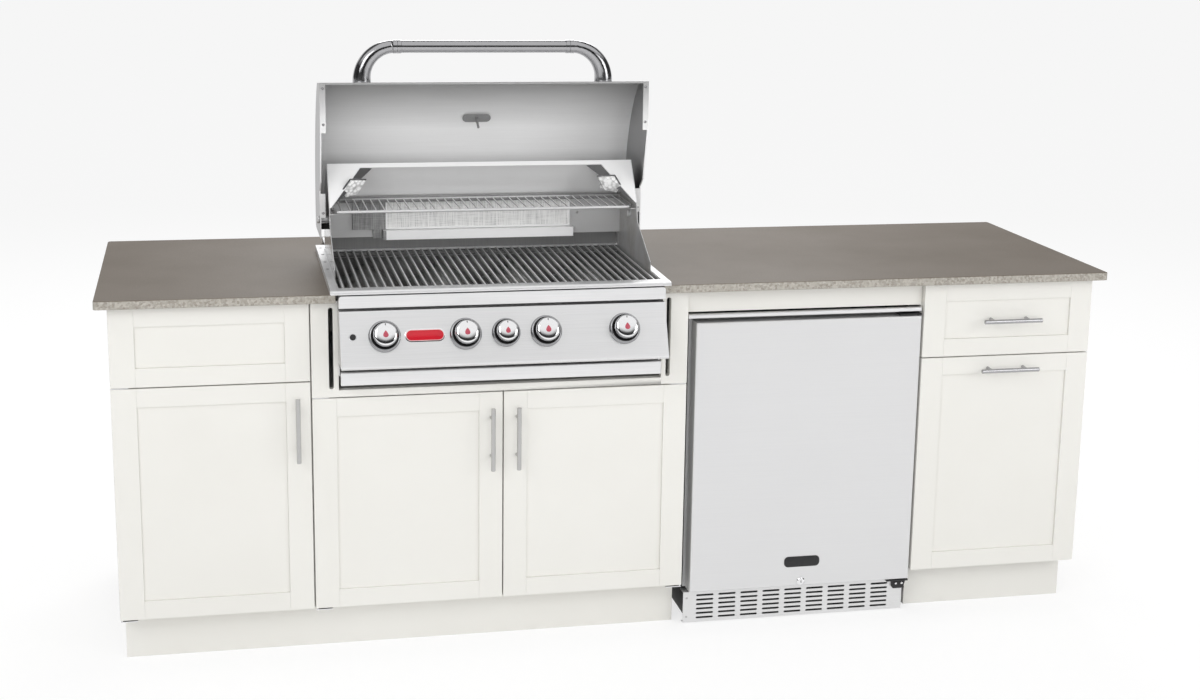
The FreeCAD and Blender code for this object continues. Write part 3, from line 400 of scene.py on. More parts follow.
@dataclass(frozen=True)
class SpeckledStone:
    """Honed stone with fine mineral grains, lighter and coarser on its cut edges."""

    name: str = "speckled_stone"
    light: Colour = (0.190, 0.155, 0.119)
    dark: Colour = (0.132, 0.105, 0.078)
    fleck: Colour = (0.255, 0.218, 0.175)
    edge_light: Colour = (0.50, 0.475, 0.43)
    edge_dark: Colour = (0.24, 0.215, 0.18)
    gloss: Pair = (0.42, 0.56)
    edge_rough: float = 0.2
    sheen: float = 0.22

    def make(self) -> Material:
        """Build the stone."""
        graph = Graph(self.name)
        grain = graph.noise(260.0, detail=5.0, roughness=0.72)
        drift = graph.noise(3.0, detail=4.0, roughness=0.6)
        flecks = graph.cells(340.0)
        chips = graph.cells(190.0, "Color")
        body = graph.layer(self.dark, self.light, grain, 1.0, 0.34, 0.66)
        body = graph.layer(body, self.dark, drift, 0.35, 0.4, 0.7)
        body = graph.blend(graph.span(flecks, 0.55, 0.0, 0.05, 0.22), body, self.fleck)
        cut = graph.layer(self.edge_dark, self.edge_light, chips, 1.0, 0.15, 0.85)
        cut = graph.layer(cut, self.edge_light, grain, 0.6, 0.3, 0.7)
        side = graph.span(graph.facing(Axis.Z), 1.0, 0.0, 0.25, 0.8)
        normal = graph.bump(grain, 0.12, 0.0004, graph.bump(flecks, 0.1, 0.0003))
        rough = graph.span(drift, *self.gloss)
        rough = graph.math(Op.ADD, rough, graph.math(Op.TIMES, side, self.edge_rough))
        return graph.surface(graph.blend(side, body, cut), rough, normal, Specular_IOR_Level=self.sheen)


@dataclass(frozen=True)
class BrushedSteel:
    """Brushed stainless steel with fine streaks along one axis and faint smudges."""

    name: str
    grain: Axis
    colour: Colour
    streak: float = 0.06
    gloss: Pair = (0.24, 0.36)
    wear: float = 0.9
    metal: float = 1.0

    def lines(self, along: float, beside: float) -> Point:
        """Noise scale that runs long with the grain and fine across it."""
        return tuple(along if axis is self.grain else beside for axis in Axis)

    def make(self) -> Material:
        """Build the steel."""
        graph = Graph(self.name)
        fine = graph.noise(self.lines(6.0, 1500.0), detail=3.0, roughness=0.6)
        broad = graph.noise(self.lines(1.2, 140.0))
        cloud = graph.noise(4.0, detail=3.0, roughness=0.6)
        worn = tuple(part * self.wear for part in self.colour)
        colour = graph.layer(self.colour, worn, fine, 1.0, 0.3, 0.7)
        colour = graph.layer(colour, worn, cloud, 0.25, 0.45, 0.75)
        rough = graph.math(Op.ADD, graph.span(fine, *self.gloss), graph.span(cloud, -0.03, 0.05))
        normal = graph.bump(fine, self.streak, 0.0002, graph.bump(broad, self.streak * 0.5, 0.0003))
        return graph.surface(colour, rough, normal, Metallic=self.metal)


@dataclass(frozen=True)
class PolishedSteel:
    """Mirror-polished steel with slight waves, wiping marks and dulled patches."""

    name: str = "polished_steel"
    colour: Colour = grey(0.84, 0.01)
    dulled: Colour = grey(0.72, 0.01)
    gloss: Pair = (0.05, 0.15)

    def make(self) -> Material:
        """Build the polished metal."""
        graph = Graph(self.name)
        wipe = graph.noise((30.0, 30.0, 110.0), detail=4.0, roughness=0.65)
        wave = graph.noise(18.0, detail=1.0)
        colour = graph.layer(self.colour, self.dulled, wipe, 0.3, 0.5, 0.8)
        normal = graph.bump(wave, 0.04, 0.002)
        return graph.surface(colour, graph.span(wipe, *self.gloss), normal, Metallic=1.0)


@dataclass(frozen=True)
class HeatedSteel:
    """Steel that has been near a flame: darker, with straw and brown bloom and soot."""

    name: str
    colour: Colour
    bloom: Colour
    soot_share: float
    soot: Colour = grey(0.10)
    gloss: Pair = (0.3, 0.5)
    scale: float = 9.0
    metal: float = 1.0

    def make(self) -> Material:
        """Build the heated metal."""
        graph = Graph(self.name)
        patch = graph.noise(self.scale, detail=4.0, roughness=0.65, twist=0.4)
        fine = graph.noise((900.0, 40.0, 900.0))
        colour = graph.layer(self.colour, self.bloom, patch, 0.8, 0.4, 0.65)
        colour = graph.layer(colour, self.soot, patch, self.soot_share, 0.55, 0.8)
        rough = graph.math(Op.ADD, graph.span(patch, *self.gloss), graph.span(fine, -0.05, 0.05))
        normal = graph.bump(fine, 0.08, 0.0003, graph.bump(patch, 0.1, 0.001))
        return graph.surface(colour, rough, normal, Metallic=self.metal)


@dataclass(frozen=True)
class HeightShadedSteel:
    """Brushed hood lining with painted shade by height in metres: full along the upper edge, none in the
    middle and a little low down.
    """

    name: str = "height_shaded_steel"
    colour: Colour = grey(0.97)
    painted_shade: Colour = grey(0.42)
    levels: Profile = ((1.13, 0.30), (1.165, 0.05), (1.23, 0.0), (1.285, 0.35), (1.35, 1.0))
    waver: float = 0.06
    gloss: Pair = (0.34, 0.46)
    metal: float = 0.3

    def make(self) -> Material:
        """Build the lining."""
        graph = Graph(self.name)
        fine = graph.noise((6.0, 900.0, 900.0), detail=3.0, roughness=0.6)
        drift = graph.noise((2.0, 5.0, 9.0), detail=3.0, roughness=0.6)
        low, high = self.levels[0][0], self.levels[-1][0]
        height = graph.span(graph.parts(graph.coordinates)[Axis.Z.value], 0.0, 1.0, low, high)
        height = graph.math(Op.ADD, height, graph.span(drift, -self.waver, self.waver))
        # Share of painted shade at each height.
        painted_shade = graph.level(height, [((z - low) / (high - low), part) for z, part in self.levels])
        colour = graph.blend(painted_shade, self.colour, self.painted_shade)
        colour = graph.layer(colour, self.painted_shade, fine, 0.1, 0.3, 0.7)
        normal = graph.bump(fine, 0.03, 0.0002)
        return graph.surface(colour, graph.span(fine, *self.gloss), normal, Metallic=self.metal)


@dataclass(frozen=True)
class WovenMesh:
    """Woven wire or streaked sheet, with fine lines running down and across."""

    name: str = "burner_mesh"
    light: Colour = (0.97, 0.97, 0.96)
    dark: Colour = grey(0.50)
    middle: Colour = (0.86, 0.86, 0.85)
    down_share: float = 0.72
    rough: float = 0.5
    metal: float = 0.15

    def make(self) -> Material:
        """Build the woven surface."""
        graph = Graph(self.name)
        down = graph.noise((620.0, 620.0, 16.0), detail=3.0, roughness=0.7)
        beside = graph.noise((30.0, 30.0, 700.0))
        weave = graph.math(Op.ADD, graph.math(Op.TIMES, down, self.down_share),
                           graph.math(Op.TIMES, beside, 1.0 - self.down_share))
        colour = graph.ramp(weave, ((0.34, self.dark), (0.5, self.middle), (0.64, self.light)))
        return graph.surface(colour, self.rough, graph.bump(weave, 0.4, 0.0008), Metallic=self.metal)


@dataclass(frozen=True)
class RibbedGlass:
    """Frosted lamp glass with a pressed pattern of small prisms and a faint glow that is painted light, as
    the lamp is not lit.
    """

    name: str = "ribbed_glass"
    colour: Colour = (0.97, 0.97, 0.965)
    valley: Colour = grey(0.30)
    frost: Colour = grey(0.98)
    rough: float = 0.16
    coat: float = 0.6
    glow: float = 0.18

    def make(self) -> Material:
        """Build the lamp glass."""
        graph = Graph(self.name)
        prism = graph.cells(105.0)
        cloud = graph.noise(60.0, detail=3.0)
        colour = graph.layer(self.colour, self.valley, prism, 0.8, 0.3, 0.8)
        colour = graph.layer(colour, self.frost, cloud, 0.4, 0.5, 0.7)
        # The faint emission is painted light.
        return graph.surface(colour, self.rough, graph.bump(prism, 0.7, 0.002), Coat_Weight=self.coat,
                             Emission_Color=colour, Emission_Strength=self.glow)


@dataclass(frozen=True)
class Moulding:
    """Moulded plastic, enamel, rubber or cast metal with a fine grain and scuffs."""

    name: str
    colour: Colour
    scuff: Colour
    gloss: Pair = (0.4, 0.6)
    grain: float = 0.1
    metal: float = 0.0

    def make(self) -> Material:
        """Build the moulded surface."""
        graph = Graph(self.name)
        scuffs = graph.noise(45.0, detail=5.0, roughness=0.7, twist=0.6)
        fine = graph.noise(800.0, detail=1.0)
        colour = graph.layer(self.colour, self.scuff, scuffs, 0.7, 0.52, 0.8)
        normal = graph.bump(fine, self.grain, 0.0003)
        return graph.surface(colour, graph.span(scuffs, *self.gloss), normal, Metallic=self.metal)


class Finishes:
    """Every finish of the island, built once."""

    def __init__(self) -> None:
        """Build the materials."""
        self.paint = PaintedBoard().make()
        self.stone = SpeckledStone().make()
        self.steel = BrushedSteel("brushed_steel", Axis.X, grey(0.88, 0.005), 0.04, metal=0.9).make()
        # Darker copy of the brushed steel for faces that look sideways: painted shade.
        self.painted_shade_steel = BrushedSteel("brushed_steel_painted_shade", Axis.Z, grey(0.34, 0.005), 0.04).make()
        self.satin = BrushedSteel("satin_steel", Axis.Z, (0.56, 0.555, 0.55), gloss=(0.22, 0.34)).make()
        # Paler, less metallic steel: painted highlight on the flange lip, the firebox's front-up faces and
        # rear lip, the rod tops and the rack's front, and the pivot bolts' own pale steel.
        self.lip = BrushedSteel("lip_steel", Axis.X, grey(0.90, 0.005), 0.03, metal=0.5).make()
        # Flange steel, also used as painted shade on the control panel's underside.
        self.flange = BrushedSteel("flange_steel_and_shade", Axis.Y, grey(0.76, 0.005), 0.03, (0.3, 0.4),
                                   metal=0.6).make()
        # Dark steel: the grate rods' own tone and part of the thermometer, and painted shade on the
        # firebox's rear wall above and below its middle band.
        self.dim = BrushedSteel("dim_steel", Axis.Z, grey(0.34), 0.05, (0.3, 0.45), 0.8, 0.4).make()
        self.rear = BrushedSteel("rear_steel", Axis.X, grey(0.66), 0.03, (0.36, 0.48), 0.95, 0.4).make()
        self.canopy = BrushedSteel("canopy_steel", Axis.X, grey(0.97), 0.03, (0.36, 0.48), 0.97, 0.06).make()
        self.hood = BrushedSteel("hood_steel", Axis.X, grey(0.90, 0.005), 0.03, (0.34, 0.46), 0.95,
                                 0.45).make()
        self.door = BrushedSteel("door_steel", Axis.X, grey(0.76, 0.005), 0.01, (0.32, 0.42), 0.97,
                                 0.6).make()
        self.grille = BrushedSteel("grille_steel", Axis.X, grey(0.80), 0.03, metal=0.7).make()
        self.bright = PolishedSteel().make()
        self.bar = PolishedSteel("handle_steel", grey(0.42, 0.01), grey(0.35, 0.01), (0.10, 0.20)).make()
        self.chrome = PolishedSteel("dark_chrome", grey(0.38, 0.01), grey(0.30, 0.01), (0.06, 0.16)).make()
        # Dark polished steel for the firebox's outer walls: painted shade in the gap round the firebox.
        self.outer = PolishedSteel("firebox_gap_shade_steel", grey(0.30, 0.005), grey(0.27, 0.005), (0.10, 0.18)).make()
        self.rods = HeatedSteel("grate_steel", grey(0.76), (0.62, 0.61, 0.59), 0.15, gloss=(0.22, 0.4),
                                metal=0.8).make()
        self.inside = HeatedSteel("firebox_steel", grey(0.54, 0.005), (0.46, 0.445, 0.42), 0.2,
                                  metal=0.4).make()
        self.burnt = HeatedSteel("shield_steel", grey(0.60), (0.42, 0.41, 0.39), 0.4).make()
        self.height_shaded = HeightShadedSteel().make()
        self.mesh = WovenMesh().make()
        self.streaked = WovenMesh("plenum_steel", grey(0.46), grey(0.16), grey(0.30)).make()
        self.lens = RibbedGlass().make()
        self.liner = Moulding("grey_liner", (0.62, 0.625, 0.63), (0.52, 0.525, 0.53), (0.35, 0.5)).make()
        self.black = Moulding("black_plastic", grey(0.014, 0.001), grey(0.035)).make()
        self.rubber = Moulding("grey_rubber", grey(0.30, 0.005), grey(0.22), (0.6, 0.8), 0.2).make()
        self.enamel = Moulding("red_enamel", (0.57, 0.010, 0.024), (0.44, 0.012, 0.02), (0.12, 0.25),
                               0.03).make()
        self.rosy = Moulding("rosy_enamel", (0.46, 0.075, 0.11), (0.36, 0.06, 0.09), (0.2, 0.35),
                             0.03).make()
        self.pale = Moulding("pale_enamel", (0.80, 0.56, 0.57), (0.72, 0.5, 0.5), (0.15, 0.3), 0.03).make()
        # Near-black: painted shade in the knob gaps, the vent holes and behind the fridge grille, and the
        # own black of the hood buffers and the knobs' pointer marks.
        self.shade = Moulding("painted_shade_and_black", grey(0.006), grey(0.012), (0.7, 0.9)).make()
        self.brass = Moulding("cast_brass", (0.62, 0.45, 0.2), (0.4, 0.28, 0.13), (0.25, 0.5), 0.2,
                              1.0).make()


@dataclass(frozen=True)
class SoftBox:
    """One soft lamp: its place, target and size in metres and its power in watts."""

    name: str
    place: Point
    target: Point
    size: Pair
    power: float
    mirrored: bool = True

    def hang(self) -> None:
        """Hang the lamp; polished metal shows it only where it is mirrored."""
        data = bpy.data.lights.new(self.name, "AREA")
        data.shape = "RECTANGLE"
        data.size, data.size_y = self.size
        data.energy = self.power
        lamp = bpy.data.objects.new(self.name, data)
        lamp.visible_glossy = self.mirrored
        bpy.context.scene.collection.objects.link(lamp)
        lamp.location = self.place
        aim = Vector(self.target) - Vector(self.place)
        lamp.rotation_euler = aim.to_track_quat("-Z", "Y").to_euler()


@dataclass
class Studio:
    """Pale floor, soft lights and the camera that the picture was taken from."""

    camera_place: Point = (-0.9848, -4.5634, 1.8038)
    turns: Point = (12.684, 12.577, 0.982)
    lens: float = 55.485
    sensor: float = 36.0
    reach: float = 100.0
    shift: Pair = (-0.01467, -0.03225)
    floor_size: float = 60.0
    floor_colour: float = 0.30
    floor_glow: float = 0.735
    bounce: float = 0.72
    sky: float = 0.62
    front_wall: Profile = ((0.0, 0.03), (0.38, 0.03), (0.52, 1.0))
    back_wall: Profile = ((0.0, 1.0), (0.42, 1.0), (0.50, 0.12), (0.90, 0.12), (0.96, 1.0))
    side_wall: Profile = ((0.60, 1.0), (0.78, 0.06))
    ceiling: Profile = ((0.40, 0.0), (0.60, 1.0))
    wall_turn: float = 0.12
    lamps: Tuple[SoftBox, ...] = (
        SoftBox("key_lamp", (-3.2, -4.0, 3.6), (0.0, 0.0, 0.6), (2.4, 2.4), 58.0),
        SoftBox("fill_lamp", (3.6, -4.2, 2.4), (0.2, 0.0, 0.6), (2.6, 2.2), 52.0),
        SoftBox("front_lamp", (-0.6, -5.4, 1.2), (0.0, 0.0, 1.0), (4.0, 1.2), 64.0, False),
        SoftBox("back_lamp", (0.5, 3.6, 3.4), (0.0, 0.2, 0.8), (3.0, 1.6), 70.0))

    def camera(self) -> None:
        """Place the camera and make it the scene's own."""
        data = bpy.data.cameras.new("studio_camera")
        camera = bpy.data.objects.new("studio_camera", data)
        bpy.context.scene.collection.objects.link(camera)
        yaw, pitch, roll = (math.radians(turn) for turn in self.turns)
        level = Vector((math.sin(yaw), math.cos(yaw), 0.0))
        forward = level * math.cos(pitch) - Axis.Z.unit(math.sin(pitch))
        right = Vector((math.cos(yaw), -math.sin(yaw), 0.0))
        up = right.cross(forward)
        side = right * math.cos(roll) + up * math.sin(roll)
        top = up * math.cos(roll) - right * math.sin(roll)
        matrix = Matrix((side, top, -forward)).transposed().to_4x4()
        matrix.translation = Vector(self.camera_place)
        camera.matrix_world = matrix
        data.sensor_width = self.sensor
        data.lens = self.lens
        data.shift_x, data.shift_y = self.shift
        data.clip_end = self.reach
        bpy.context.scene.camera = camera

    def seen(self, graph: Nodes) -> object:
        """Find the rays that come from the camera, a mirror or glass.

        Args:
            graph: The builder of the tree that asks.

        Returns:
            A socket that is 1 for such rays.
        """
        rays = graph.add("LightPath").outputs
        mirror = graph.math(Op.GREATER, rays["Is Camera Ray"], rays["Is Glossy Ray"])
        return graph.math(Op.GREATER, mirror, rays["Is Transmission Ray"])

    def floor(self) -> None:
        """Lay the pale floor, which keeps the island's shadow."""
        bpy.ops.mesh.primitive_plane_add(size=self.floor_size, location=(0.0, 0.0, 0.0))
        floor = bpy.context.object
        floor.name = "studio_floor"
        graph = Graph("studio_floor")
        bare = graph.run("BsdfDiffuse", "BSDF", {"Color": grey(self.bounce)})
        shown = graph.run("BsdfDiffuse", "BSDF", {"Color": grey(self.floor_colour)})
        glow = graph.run("Emission", "Emission", {"Strength": self.floor_glow})
        both = graph.run("AddShader", "Shader", {0: shown, 1: glow})
        mix = graph.run("MixShader", "Shader", {"Fac": self.seen(graph), 1: bare, 2: both})
        graph.join(mix, graph.output.inputs["Surface"])
        floor.data.materials.append(graph.material)

    def walls(self, graph: Nodes) -> object:
        """Brightness of the studio's walls as metal shows them, by direction.

        Args:
            graph: The builder of the world's tree.

        Returns:
            A socket with the brightness.
        """
        beside, along, height = graph.parts(graph.add("TexCoord").outputs["Generated"])
        ends = graph.blend(graph.span(along, 0.0, 1.0, -self.wall_turn, self.wall_turn),
                           graph.level(height, self.front_wall), graph.level(height, self.back_wall))
        sides = graph.math(Op.GREATER, graph.level(graph.math(Op.SIZE, beside), self.side_wall),
                           graph.level(height, self.ceiling))
        return graph.math(Op.LESSER, ends, sides)

    def world(self) -> None:
        """Surround the island with even pale light and a white backdrop, and let metal show the walls."""
        world = bpy.data.worlds.new("studio_world")
        bpy.context.scene.world = world
        world.use_nodes = True
        graph = Nodes(world.node_tree)
        backdrop = graph.tree.nodes["Background"]
        graph.join(graph.span(self.seen(graph), self.sky, 1.0), backdrop.inputs["Strength"])
        mirrored = graph.add("LightPath").outputs["Is Glossy Ray"]
        graph.join(graph.blend(mirrored, grey(1.0), self.walls(graph)), backdrop.inputs["Color"])

    def build(self) -> None:
        """Set up camera, floor, sky and lamps."""
        bpy.context.scene.view_settings.view_transform = "Standard"
        self.camera()
        self.floor()
        self.world()
        for lamp in self.lamps:
            lamp.hang()


class Shop:
    """Blender's modelling operators, wrapped so that each call starts from a clean selection."""

    @staticmethod
    def clear() -> None:
        """Leave edit mode and deselect everything."""
        if bpy.context.mode != "OBJECT":
            bpy.ops.object.mode_set(mode="OBJECT")
        bpy.ops.object.select_all(action="DESELECT")

    @staticmethod
    def hold(piece: Piece) -> None:
        """Select one piece alone and make it active.

        Args:
            piece: The piece.
        """
        Shop.clear()
        piece.select_set(True)
        bpy.context.view_layer.objects.active = piece

    @staticmethod
    def edit(piece: Piece, part: Part) -> None:
        """Open a piece in edit mode with everything selected.

        Args:
            piece: The piece to open.
            part: What is selected from here on.
        """
        Shop.hold(piece)
        bpy.ops.object.mode_set(mode="EDIT")
        bpy.ops.mesh.select_mode(type=part.value)
        bpy.ops.mesh.select_all(action="SELECT")

    @staticmethod
    def settle(piece: Piece) -> None:
        """Put a piece's place, turn and scale into its mesh."""
        Shop.hold(piece)
        bpy.ops.object.transform_apply(location=True, rotation=True, scale=True)

    @staticmethod
    def smooth(piece: Piece, angle: float = SMOOTH_ANGLE) -> Piece:
        """Shade a piece smooth.

        Args:
            piece: The piece.
            angle: Edges sharper than this, in degrees, stay sharp.

        Returns:
            The piece.
        """
        Shop.hold(piece)
        bpy.ops.object.shade_smooth_by_angle(angle=math.radians(angle))
        return piece

    @staticmethod
    def modified(piece: Piece, kind: str, **settings: object) -> Piece:
        """Give a piece a modifier and apply it.

        Args:
            piece: The piece.
            kind: The modifier's type.
            **settings: Properties of the modifier.

        Returns:
            The piece.
        """
        Shop.hold(piece)
        bpy.ops.object.modifier_add(type=kind)
        modifier = piece.modifiers[-1]
        for key, value in settings.items():
            setattr(modifier, key, value)
        bpy.ops.object.modifier_apply(modifier=modifier.name)
        return piece

    @staticmethod
    def weighted(piece: Piece) -> Piece:
        """Let the large flat faces set the shading of the eased edges beside them."""
        return Shop.modified(piece, "WEIGHTED_NORMAL", keep_sharp=True)

    @staticmethod
    def eased(piece: Piece, width: float, segments: int = 2) -> Piece:
        """Bevel a piece's sharp edges by a width in millimetres."""
        return Shop.modified(piece, "BEVEL", width=width * MM, segments=segments, limit_method="ANGLE",
                             angle_limit=math.radians(EASE_ANGLE))

    @staticmethod
    def pick(piece: Piece, test: Test) -> None:
        """Open a piece and select the loose parts that have a corner passing a test.

        Args:
            piece: The piece to open.
            test: Takes a corner's place and normal.
        """
        Shop.edit(piece, Part.CORNER)
        bpy.ops.mesh.select_all(action="DESELECT")
        mesh = bmesh.from_edit_mesh(piece.data)
        for corner in mesh.verts:
            if test(corner.co, corner.normal):
                corner.select = True
        mesh.select_flush_mode()
        bmesh.update_edit_mesh(piece.data)
        bpy.ops.mesh.select_linked()

    @staticmethod
    def block(name: str, low: Vector, high: Vector, ease: float) -> Piece:
        """Board or bar between two corners, with eased edges.

        Args:
            name: The piece's name.
            low: Its lowest corner in metres.
            high: Its highest corner in metres.
            ease: Width of the eased edges in millimetres.

        Returns:
            The finished piece.
        """
        Shop.clear()
        bpy.ops.mesh.primitive_cube_add(size=1.0, location=(low + high) / 2, scale=high - low)
        piece = bpy.context.object
        piece.name = name
        Shop.settle(piece)
        Shop.edit(piece, Part.EDGE)
        bpy.ops.mesh.bevel(offset=ease * MM, segments=2, affect="EDGES")
        return Shop.weighted(Shop.smooth(piece, BOARD_ANGLE))

    @staticmethod
    def outline(name: str, points: Sequence[Vector]) -> Piece:
        """Draw a line from point to point by extruding one vertex, and select it.

        Args:
            name: The piece's name.
            points: Places in metres.

        Returns:
            The piece, open in edit mode.
        """
        Shop.clear()
        bpy.ops.mesh.primitive_plane_add(size=0.01, location=points[0])
        piece = bpy.context.object
        piece.name = name
        Shop.settle(piece)
        Shop.edit(piece, Part.CORNER)
        bpy.ops.mesh.merge(type="CENTER")
        for start, end in zip(points, points[1:]):
            bpy.ops.mesh.extrude_vertices_move(TRANSFORM_OT_translate={"value": tuple(end - start)})
        bpy.ops.mesh.select_all(action="SELECT")
        return piece

    @staticmethod
    def turned(name: str, profile: Sequence[Pair], base: Vector, direction: Vector,
               steps: int = 48) -> Piece:
        """Turn a profile about an axis.

        Args:
            name: The piece's name.
            profile: Radius and height pairs in millimetres.
            base: The axis's zero point in metres.
            direction: The axis.
            steps: Faces round the axis.

        Returns:
            The finished piece.
        """
        axis = direction.normalized()
        side = axis.orthogonal().normalized()
        piece = Shop.outline(name, [base + side * (r * MM) + axis * (h * MM) for r, h in profile])
        bpy.ops.mesh.spin(steps=steps, angle=math.tau, center=base, axis=axis)
        bpy.ops.mesh.select_all(action="SELECT")
        bpy.ops.mesh.remove_doubles(threshold=WELD)
        bpy.ops.mesh.normals_make_consistent(inside=False)
        return Shop.smooth(piece)

    @staticmethod
    def extruded(name: str, points: Sequence[Vector], step: Vector, ease: float) -> Piece:
        """Fill an outline and extrude it.

        Args:
            name: The piece's name.
            points: Corners of the outline in metres.
            step: The extrusion in metres.
            ease: Width of the eased edges in millimetres.

        Returns:
            The finished piece.
        """
        piece = Shop.outline(name, points)
        bpy.ops.mesh.edge_face_add()
        bpy.ops.mesh.select_mode(type=Part.FACE.value)
        bpy.ops.mesh.select_all(action="SELECT")
        bpy.ops.mesh.extrude_region_move(TRANSFORM_OT_translate={"value": tuple(step)})
        bpy.ops.mesh.select_all(action="SELECT")
        bpy.ops.mesh.normals_make_consistent(inside=False)
        return Shop.smooth(Shop.eased(piece, ease))

    @staticmethod
    def joined(name: str, pieces: Sequence[Piece]) -> Piece:
        """Join pieces into the first one.

        Args:
            name: The whole's name.
            pieces: The pieces.

        Returns:
            The whole.
        """
        whole = pieces[0]
        Shop.hold(whole)
        for piece in pieces:
            piece.select_set(True)
        bpy.ops.object.join()
        whole.name = name
        return whole

    @staticmethod
    def refined(node: str, name: str, ease: float, segments: int = 2, angle: float = SMOOTH_ANGLE) -> Piece:
        """Weld a copy of a CAD node, ease its sharp edges and shade its curved faces smooth.

        Args:
            node: The node's name.
            name: The new piece's name.
            ease: Width of the eased edges in millimetres, or 0 for none.
            segments: Faces across each eased edge.
            angle: Sharpest angle in degrees that is shaded smooth.

        Returns:
            The finished piece.
        """
        Shop.hold(frame["nodes"][node])
        bpy.ops.object.duplicate(linked=False)
        piece = bpy.context.object
        piece.name = name
        bpy.ops.object.parent_clear(type="CLEAR_KEEP_TRANSFORM")
        for key in [key for key in piece.keys() if key.startswith("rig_")]:
            del piece[key]
        Shop.settle(piece)
        Shop.edit(piece, Part.CORNER)
        bpy.ops.mesh.remove_doubles(threshold=WELD)
        bpy.ops.mesh.dissolve_limited(angle_limit=math.radians(FLAT_ANGLE))
        if ease:
            Shop.eased(piece, ease, segments)
        return Shop.weighted(Shop.smooth(piece, angle))

    @staticmethod
    def parted(piece: Piece, name: str, test: Test) -> Piece:
        """Separate the loose parts that have a corner passing a test.

        Args:
            piece: The piece to take them from.
            name: The new piece's name.
            test: Takes a corner's place and normal.

        Returns:
            The separated piece.
        """
        Shop.pick(piece, test)
        bpy.ops.mesh.separate(type="SELECTED")
        part = next(o for o in bpy.context.selected_objects if o is not piece)
        Shop.clear()
        part.name = name
        return part

    @staticmethod
    def trimmed(piece: Piece, test: Test) -> None:
        """Delete the loose parts that have a corner passing a test.

        Args:
            piece: The piece to trim.
            test: Takes a corner's place and normal.
        """
        Shop.pick(piece, test)
        bpy.ops.mesh.delete(type="VERT")
        Shop.clear()

    @staticmethod
    def cut(piece: Piece, place: Vector, direction: Vector) -> None:
        """Cut a piece's faces along a plane and keep both sides.

        Args:
            piece: The piece to cut.
            place: A point of the plane.
            direction: The plane's normal.
        """
        Shop.edit(piece, Part.FACE)
        bpy.ops.mesh.bisect(plane_co=place, plane_no=direction)
        Shop.clear()


@dataclass
class Assembly:
    """Shared steps of every sub-assembly."""

    kit: Finishes
    screw_shank: float = 1.5
    screw_rise: float = 0.55
    screw_head: Profile = ((0.5, 0), (1, 0), (0.92, 0.6), (0.6, 1), (0.28, 1), (0.22, 0.5), (0, 0.5))

    def fit(self, piece: Piece, finish: Material, body: str, slot: Slot, *nodes: str) -> Piece:
        """Dress a piece, hang it on its body and let it stand for CAD nodes.

        Args:
            piece: The finished piece.
            finish: Its material.
            body: The body that it rides on.
            slot: Not used.
            *nodes: The CAD nodes that it replaces.

        Returns:
            The piece.
        """
        piece.data.materials.clear()
        piece.data.materials.append(finish)
        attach(piece, body)
        if nodes:
            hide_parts(*nodes)
        LOG.info("%s on %s", piece.name, body)
        return piece

    def refit(self, node: str, name: str, finish: Material, slot: Slot, ease: float, body: str = "island",
              **shaping: float) -> Piece:
        """Refine a CAD node and fit the new piece in its place."""
        return self.fit(Shop.refined(node, name, ease, **shaping), finish, body, slot, node)

    def patch(self, piece: Piece, finish: Material, test: Test) -> None:
        """Give another finish to some of a piece's faces.

        Args:
            piece: The piece.
            finish: The other finish.
            test: Takes a face's centre and normal.
        """
        piece.data.materials.append(finish)
        last = len(piece.data.materials) - 1
        for face in piece.data.polygons:
            if test(face.center, face.normal):
                face.material_index = last

    def screws(self, name: str, heads: Sequence[Vector], out: Vector, radius: float, body: str,
               finish: Material, slot: Slot) -> None:
        """Set round screw heads on a face.

        Args:
            name: The joined piece's name.
            heads: Places on the face in metres.
            out: The face's direction.
            radius: The heads' radius in millimetres.
            body: The body that they ride on.
            finish: Their material.
            slot: The record's slot.
        """
        profile = [(0, -self.screw_shank), (radius / 2, -self.screw_shank)]
        profile += [(radius * share, radius * self.screw_rise * rise) for share, rise in self.screw_head]
        pieces = [Shop.turned(f"{name}_{i}", profile, head, out, steps=16)
                  for i, head in enumerate(heads)]
        self.fit(Shop.joined(name, pieces), finish, body, slot)


@dataclass
class Coat(Assembly):
    """Finishes of the CAD's own nodes, which finer pieces may then replace."""

    def build(self) -> None:
        """Dress every node of the frame."""
        kit = self.kit
        for finish, names in (
                (kit.paint, "plinths left_carcass grill_carcass right_carcass fridge_bay face_frame "
                            "left_door left_false_front grill_door_left grill_door_right drawer_front "
                            "pullout_front"),
                (kit.stone, "counter_slab"),
                (kit.satin, "left_door_handle grill_door_left_handle grill_door_right_handle "
                            "fridge_shelves"),
                (kit.steel, "drawer_handle pullout_handle control_panel grill_apron drip_tray fridge_door "
                            "fridge_trim fridge_grille grill_flange hood_shell drawer_slides pullout_slides "
                            "drip_tray_rails pullout_frame"),
                (kit.bright, "knob_bezels knob_1 knob_2 knob_3 knob_4 knob_5 light_button hood_handle "
                             "fridge_lock thermometer hood_pivots left_door_pivots grill_door_pivots"),
                (kit.inside, "firebox rear_panel"),
                (kit.rods, "cooking_grates warming_rack"),
                (kit.burnt, "main_burners heat_shields"),
                (kit.mesh, "rear_burner"),
                (kit.lens, "interior_lamps"),
                (kit.liner, "fridge_cabinet waste_bins drawer_box"),
                (kit.rubber, "fridge_gasket"),
                (kit.black, "fridge_hinges leveling_legs fridge_compressor"),
                (kit.brass, "gas_manifold")):
            for name in names.split():
                mesh = frame["nodes"][name].data
                mesh.materials.clear()
                mesh.materials.append(finish)


